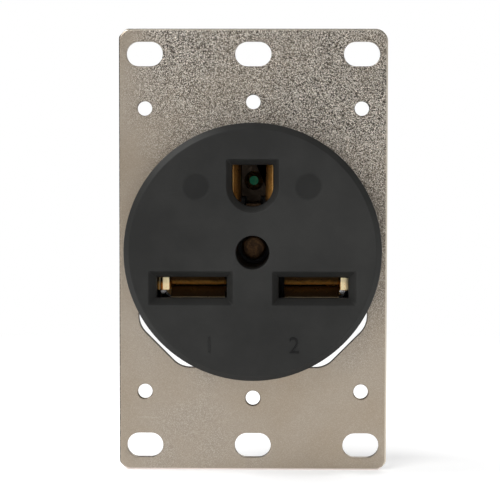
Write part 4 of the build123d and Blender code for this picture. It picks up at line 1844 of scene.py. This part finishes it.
def rivet_profile() -> tuple[Pair, ...]:
    """Half section of the rivet: a low dome with a crown flattened by use, the shank and the rolled
    end.

    With s the share of the head's radius, the dome's depth is the crown's plus a small part of
    s squared and a larger part of s to the power 14, so that it falls mostly at its rim.
    """
    head, crown = 2.7, 12.55
    radii = head * np.sin(np.linspace(0, QUARTER_TURN, 18))
    depths = crown + 0.10 * (radii / head) ** 2 + 0.42 * (radii / head) ** 14
    under = ((head, 13.4), (2.62, 13.5), (1.5, 13.5))
    rolled = ((1.5, 18.95), (2.2, 18.97), (2.4, 19.1), (2.32, 19.35), (1.95, 19.75), (1.5, 20.0))
    hollow = ((1.1, 20.05), (0.95, 19.9), (0.8, 19.4), (0.0, 19.35))
    return (*zip(radii.tolist(), depths.tolist()), *under, *rolled, *hollow)


@dataclass(frozen=True)
class TabTrim:
    """Small sheared feature beside a contact's front tab: a section carried along Z.

    Attributes:
        name: Name of the piece.
        side: 1 for the right-hand contact, -1 for the left-hand one.
        section: Its section (x, y), from the tab outwards and round to its back.
        stations: Pairs of the section's scale and its height.
    """

    name: str
    side: float
    section: tuple[Pair, ...]
    stations: tuple[Pair, ...] = ((0.82, -8.10), (1.0, -8.04), (1.0, -5.51), (0.82, -5.45))

    def build(self, finish: Material) -> None:
        """Scale the section about its middle at each station, close both ends and install it.

        Args:
            finish: The piece's material.
        """
        section = np.asarray(self.section) * (self.side, 1.0)
        middle = section.mean(0)
        rings = []
        for scale, z in self.stations:
            flat = middle + (section - middle) * scale
            rings.append(np.column_stack((flat, np.full(len(flat), z))))
        shell = Shell().grid(np.stack(rings))
        count = len(section)
        for ring_points in (rings[0], rings[-1]):
            fan = np.vstack((ring_points, ring_points.mean(0)))
            index = np.arange(count)
            shell.take(fan, np.column_stack((index, np.roll(index, -1), np.full(count, count))))
        piece = shell.build(self.name, 30.0)
        install(piece, finish, "contact_brass")


@dataclass(frozen=True)
class Contacts:
    """Folded brass contacts with their steel clips, and the bond strip.

    Attributes:
        sheared_round: Round on the contacts' sheared edges.
        clip_round: Round on the clips' edges.
        strip_round: Round on the bond strip's edges.
        pinch: How far each blade leaf is drawn in at its throat.
        leaf_middle: Height between the blade leaves.
        pinch_depths: Depths of their lip, throat and root.
        right_leaves: Distances from the middle plane between which the right leaves lie.
        left_leaves: The same for the left ones.
        rolled_flank: Section of the left tab's flank, whose corner is rolled over.
        squared_flank: Section of the right tab's flank.
        foot: Section of a tab's foot.
        foot_stations: Pairs of the foot's scale and its height.
    """

    sheared_round: float = 0.12
    clip_round: float = 0.06
    strip_round: float = 0.08
    pinch: float = 0.55
    leaf_middle: float = -7.45
    pinch_depths: Triple = (-5.3, -0.8, 4.0)
    right_leaves: Pair = (6.5, 18.3)
    left_leaves: Pair = (5.6, 17.4)
    rolled_flank: tuple[Pair, ...] = (
        (19.5, -5.49), (19.78, -5.40), (20.0, -5.18), (20.13, -4.90), (20.2, -4.50), (19.5, -4.50),
    )
    squared_flank: tuple[Pair, ...] = (
        (19.5, -5.49), (19.95, -5.47), (20.08, -5.41), (20.16, -5.28), (20.2, -4.50), (19.5, -4.50),
    )
    foot: tuple[Pair, ...] = (
        (18.2, -5.30), (19.4, -5.42), (19.55, -5.30), (19.5, -4.70), (18.3, -4.70),
    )
    foot_stations: tuple[Pair, ...] = ((0.9, -8.22), (1.0, -8.30), (0.72, -8.66), (0.38, -8.98))

    def build(self, finishes: Finishes) -> None:
        """Round the sheared edges of each folded piece and install it.

        Args:
            finishes: The painted materials.
        """
        blades, ground = finishes.blade_contact, finishes.ground_contact
        right, left = (
            Pinch(self.pinch, self.leaf_middle, leaves, self.pinch_depths)
            for leaves in (self.right_leaves, self.left_leaves)
        )
        for node, finish, pinch in (
            ("contact_right", blades, right),
            ("contact_left", blades, left),
            ("contact_ground", ground, None),
        ):
            copy = RoundedCopy(node, self.sheared_round, segments=3, pinch=pinch)
            install(copy.build(f"{node}_body"), finish, "contact_brass", node)
        TabTrim("tab_flank_left", -1.0, self.rolled_flank).build(blades)
        TabTrim("tab_flank_right", 1.0, self.squared_flank).build(blades)
        for name, side in (("tab_foot_left", -1.0), ("tab_foot_right", 1.0)):
            TabTrim(name, side, self.foot, self.foot_stations).build(finishes.spring)
        for node in ("spring_right", "spring_left", "spring_ground"):
            piece = RoundedCopy(node, self.clip_round).build(f"{node}_body")
            install(piece, finishes.spring, "spring_steel", node)
        strip = RoundedCopy("bond_strip", self.strip_round).build("bond_strip_body")
        install(strip, finishes.zinc, "clamp_steel", "bond_strip")


@dataclass(frozen=True)
class Terminals:
    """Terminal screws with their wire clamps, seen from behind.

    Attributes:
        clamp_round: Round on the clamps' edges.
        right: Place of the right screw's axis (x, z).
        left: The same for the left one.
        ground: The same for the ground screw.
    """

    clamp_round: float = 0.14
    right: Pair = (14.45, -7.45)
    left: Pair = (-13.55, -7.45)
    ground: Pair = (0.0, 14.75)

    def build(self, finishes: Finishes) -> None:
        """Build the three screws and clamps.

        Args:
            finishes: The painted materials.
        """
        for name, centre, turn, finish, slot in (
            ("terminal_screw_right", self.right, 24.0, finishes.screw, "screw_brass"),
            ("terminal_screw_left", self.left, -51.0, finishes.screw, "screw_brass"),
            ("ground_screw", self.ground, 8.0, finishes.green, "green_screw"),
        ):
            SlottedScrew(name, centre, slot_turn=turn).build(finish, slot)
        for node in ("wire_clamp_right", "wire_clamp_left", "wire_clamp_ground"):
            piece = RoundedCopy(node, self.clamp_round, segments=3).build(f"{node}_body")
            install(piece, finishes.zinc, "clamp_steel", node)


@dataclass(frozen=True)
class BaseMoulding:
    """Rear moulding with the fasteners that hold it to the face.

    Attributes:
        edge_round: Round on the moulding's edges.
        screw_place: Place of the right assembly screw's axis (x, z).
        screw_turns: Turns of the left and the right one's driver slot, in degrees.
        rivet_ripple: How far the struck rivet wanders, as a share of its radius.
        washer: Section of the rivet's washer, as pairs of a radius and a depth.
    """

    edge_round: float = 0.22
    screw_place: Pair = (11.7, 13.8)
    screw_turns: Pair = (37.0, -12.0)
    rivet_ripple: float = 0.006
    washer: tuple[Pair, ...] = (
        (1.6, 18.22), (1.67, 18.15), (3.9, 18.15), (4.0, 18.25),
        (4.0, 18.87), (3.92, 18.95), (1.7, 18.95), (1.6, 18.85),
    )

    def build(self, finishes: Finishes) -> None:
        """Build the moulding, the assembly screws, the rivet and its washer.

        Args:
            finishes: The painted materials.
        """
        piece = RoundedCopy("base", self.edge_round, segments=3).build("base_moulding")
        install(piece, finishes.base, "base_plastic", "base")
        x, z = self.screw_place
        for name, centre, turn in zip(
            ("assembly_screw_left", "assembly_screw_right"), ((-x, z), (x, z)), self.screw_turns
        ):
            screw = SlottedScrew(
                name, centre, tip=-8.0, seat=14.0, diameter=2.9, pitch=1.1, thread_depth=0.3,
                tip_diameter=1.4, tip_length=0.75, head_diameter=5.8, head_height=2.2,
                head_rim=1.2, slot_width=0.8, slot_depth=1.0, slot_turn=turn,
            )
            screw.build(finishes.zinc, "assembly_steel")
        rivet = TurnedPiece("centre_rivet", rivet_profile(), ripple=self.rivet_ripple)
        rivet.build(finishes.rivet, "rivet_copper")
        washer = TurnedPiece("rivet_washer", self.washer, closed=True)
        washer.build(finishes.zinc, "assembly_steel")


# Studio


@dataclass(frozen=True)
class SoftBox:
    """Large soft lamp.

    Attributes:
        name: Name of the lamp.
        place: Where it stands, in metres.
        size: Its width and height, in metres.
        power: Its power in watts.
        aim: The point it shines at, in metres.
    """

    name: str
    place: Triple
    size: Pair
    power: float
    aim: Triple = (0.0, 0.0, 0.0)

    def light(self) -> None:
        """Hang the lamp and turn it to its aim."""
        lamp = bpy.data.lights.new(self.name, "AREA")
        lamp.shape = "RECTANGLE"
        lamp.size, lamp.size_y = self.size
        lamp.energy = self.power
        holder = bpy.data.objects.new(self.name, lamp)
        holder.location = self.place
        towards = Vector(self.aim) - Vector(self.place)
        holder.rotation_euler = towards.to_track_quat("-Z", "Y").to_euler()
        bpy.context.scene.collection.objects.link(holder)


@dataclass(frozen=True)
class Studio:
    """Floor, lamps, world and camera.

    Attributes:
        azimuth: Turn of the camera about the object, in degrees.
        elevation: Height of the camera above the horizon, in degrees.
        roll: Turn of the camera about its own axis, in degrees.
        distance: Distance from the strap's front, in millimetres.
        focal_pixels: Focal length in pixels of the frame.
        frame_pixels: Width and height of the frame.
        aim: Where the camera's axis meets the strap's front, in millimetres.
        world_light: Strength of the world for diffuse light.
        front_light: The same straight in front of the object.
        lens_light: The same in a narrow cone about the lens, which reaches the deep openings.
        lens_limit: Depth part (Y of the direction) at which that cone has faded.
        mirror_heights: Heights (Z of the direction) between which the mirrored world fades.
        mirror_levels: Strength of the mirrored world below and above them.
        floor_half: Half the floor's width and depth, in metres.
        lamps: The lamps.
    """

    azimuth: float = 0.9
    elevation: float = 2.9
    roll: float = 0.078
    distance: float = 375.0
    focal_pixels: float = 1763.0
    frame_pixels: float = 500.0
    aim: Triple = (-0.645, -1.6, 0.13)
    world_light: float = 0.30
    front_light: float = 1.55
    lens_light: float = 5.0
    lens_limit: float = -0.985
    mirror_heights: Pair = (-0.12, 0.28)
    mirror_levels: Pair = (0.96, 0.08)
    floor_half: float = 3.0
    lamps: tuple[SoftBox, ...] = (
        SoftBox("key", (-0.45, -0.75, 0.60), (0.6, 0.6), 4.5),
        SoftBox("fill", (0.60, -0.80, 0.10), (0.5, 0.8), 0.6),
        SoftBox("back_light", (0.35, 0.80, 0.55), (0.7, 0.5), 4.0),
        SoftBox("rim_light", (-0.62, 0.04, 0.80), (0.5, 0.5), 5.0),
    )

    def camera(self) -> None:
        """Set up a pinhole camera that matches the fitted view."""
        turn, rise = math.radians(self.azimuth), math.radians(self.elevation)
        level = math.cos(rise)
        back = Vector((math.sin(turn) * level, -math.cos(turn) * level, math.sin(rise)))
        data = bpy.data.cameras.new("camera")
        data.sensor_width = 36.0
        data.lens = self.focal_pixels / self.frame_pixels * data.sensor_width
        data.clip_start, data.clip_end = 0.01, 20.0
        holder = bpy.data.objects.new("camera", data)
        holder.location = (Vector(self.aim) + back * self.distance) * METRES
        look = (-back).to_track_quat("-Z", "Y").to_matrix().to_4x4()
        tilt = Euler((0.0, 0.0, math.radians(self.roll))).to_matrix().to_4x4()
        holder.rotation_euler = (look @ tilt).to_euler()
        bpy.context.scene.collection.objects.link(holder)
        bpy.context.scene.camera = holder

    def world(self) -> None:
        """White world to the camera, paler with height to mirrors, and softer for diffuse light."""
        world = bpy.data.worlds.new("studio")
        bpy.context.scene.world = world
        world.use_nodes = True
        background = world.node_tree.nodes["Background"]
        background.inputs["Color"].default_value = (1.0, 1.0, 1.0, 1.0)
        nodes = NodeTools(world.node_tree, "Generated")
        low, high = zip(self.mirror_heights, self.mirror_levels)
        mirrored = nodes.spread(nodes.axis("Z"), low, high)
        diffuse = nodes.spread(nodes.axis("Y"), (-1.0, self.front_light), (-0.70, self.world_light))
        lens_light = nodes.spread(nodes.axis("Y"), (-1.0, self.lens_light), (self.lens_limit, 0.0))
        diffuse = nodes.larger(diffuse, lens_light)
        unseen = nodes.times(diffuse, nodes.rest(nodes.ray("Glossy")))
        glossy = nodes.times(nodes.ray("Glossy"), mirrored)
        level = nodes.plus(unseen, glossy)
        level = nodes.larger(level, nodes.ray("Camera", "Transmission"))
        nodes.link(level, background.inputs["Strength"])

    def floor(self, finishes: Finishes) -> None:
        """Lay a wide floor just under the strap's lower edge.

        Args:
            finishes: The painted materials.
        """
        low, half = CAD_BOX[0].z, self.floor_half
        mesh = bpy.data.meshes.new("floor")
        corners = [(-half, -half, low), (half, -half, low), (half, half, low), (-half, half, low)]
        mesh.from_pydata(corners, [], [(0, 1, 2, 3)])
        mesh.materials.append(finishes.floor)
        floor = bpy.data.objects.new("floor", mesh)
        bpy.context.scene.collection.objects.link(floor)

    def build(self, finishes: Finishes) -> None:
        """Set up the whole studio.

        Args:
            finishes: The painted materials.
        """
        self.camera()
        self.world()
        self.floor(finishes)
        for lamp in self.lamps:
            lamp.light()
        bpy.context.scene.view_settings.view_transform = "Standard"


def main() -> None:
    """Build the receptacle and its studio in order."""
    logging.basicConfig(level=logging.INFO, format="%(name)s: %(message)s")
    finishes = Finishes()
    Strap().build(finishes)
    FaceMoulding().build(finishes)
    TerminalNumeral("1", (-9.0, -19.3)).build(finishes)
    TerminalNumeral("2", (8.7, -19.3)).build(finishes)
    Contacts().build(finishes)
    Terminals().build(finishes)
    BaseMoulding().build(finishes)
    Studio().build(finishes)


if __name__ == "__main__":
    main()
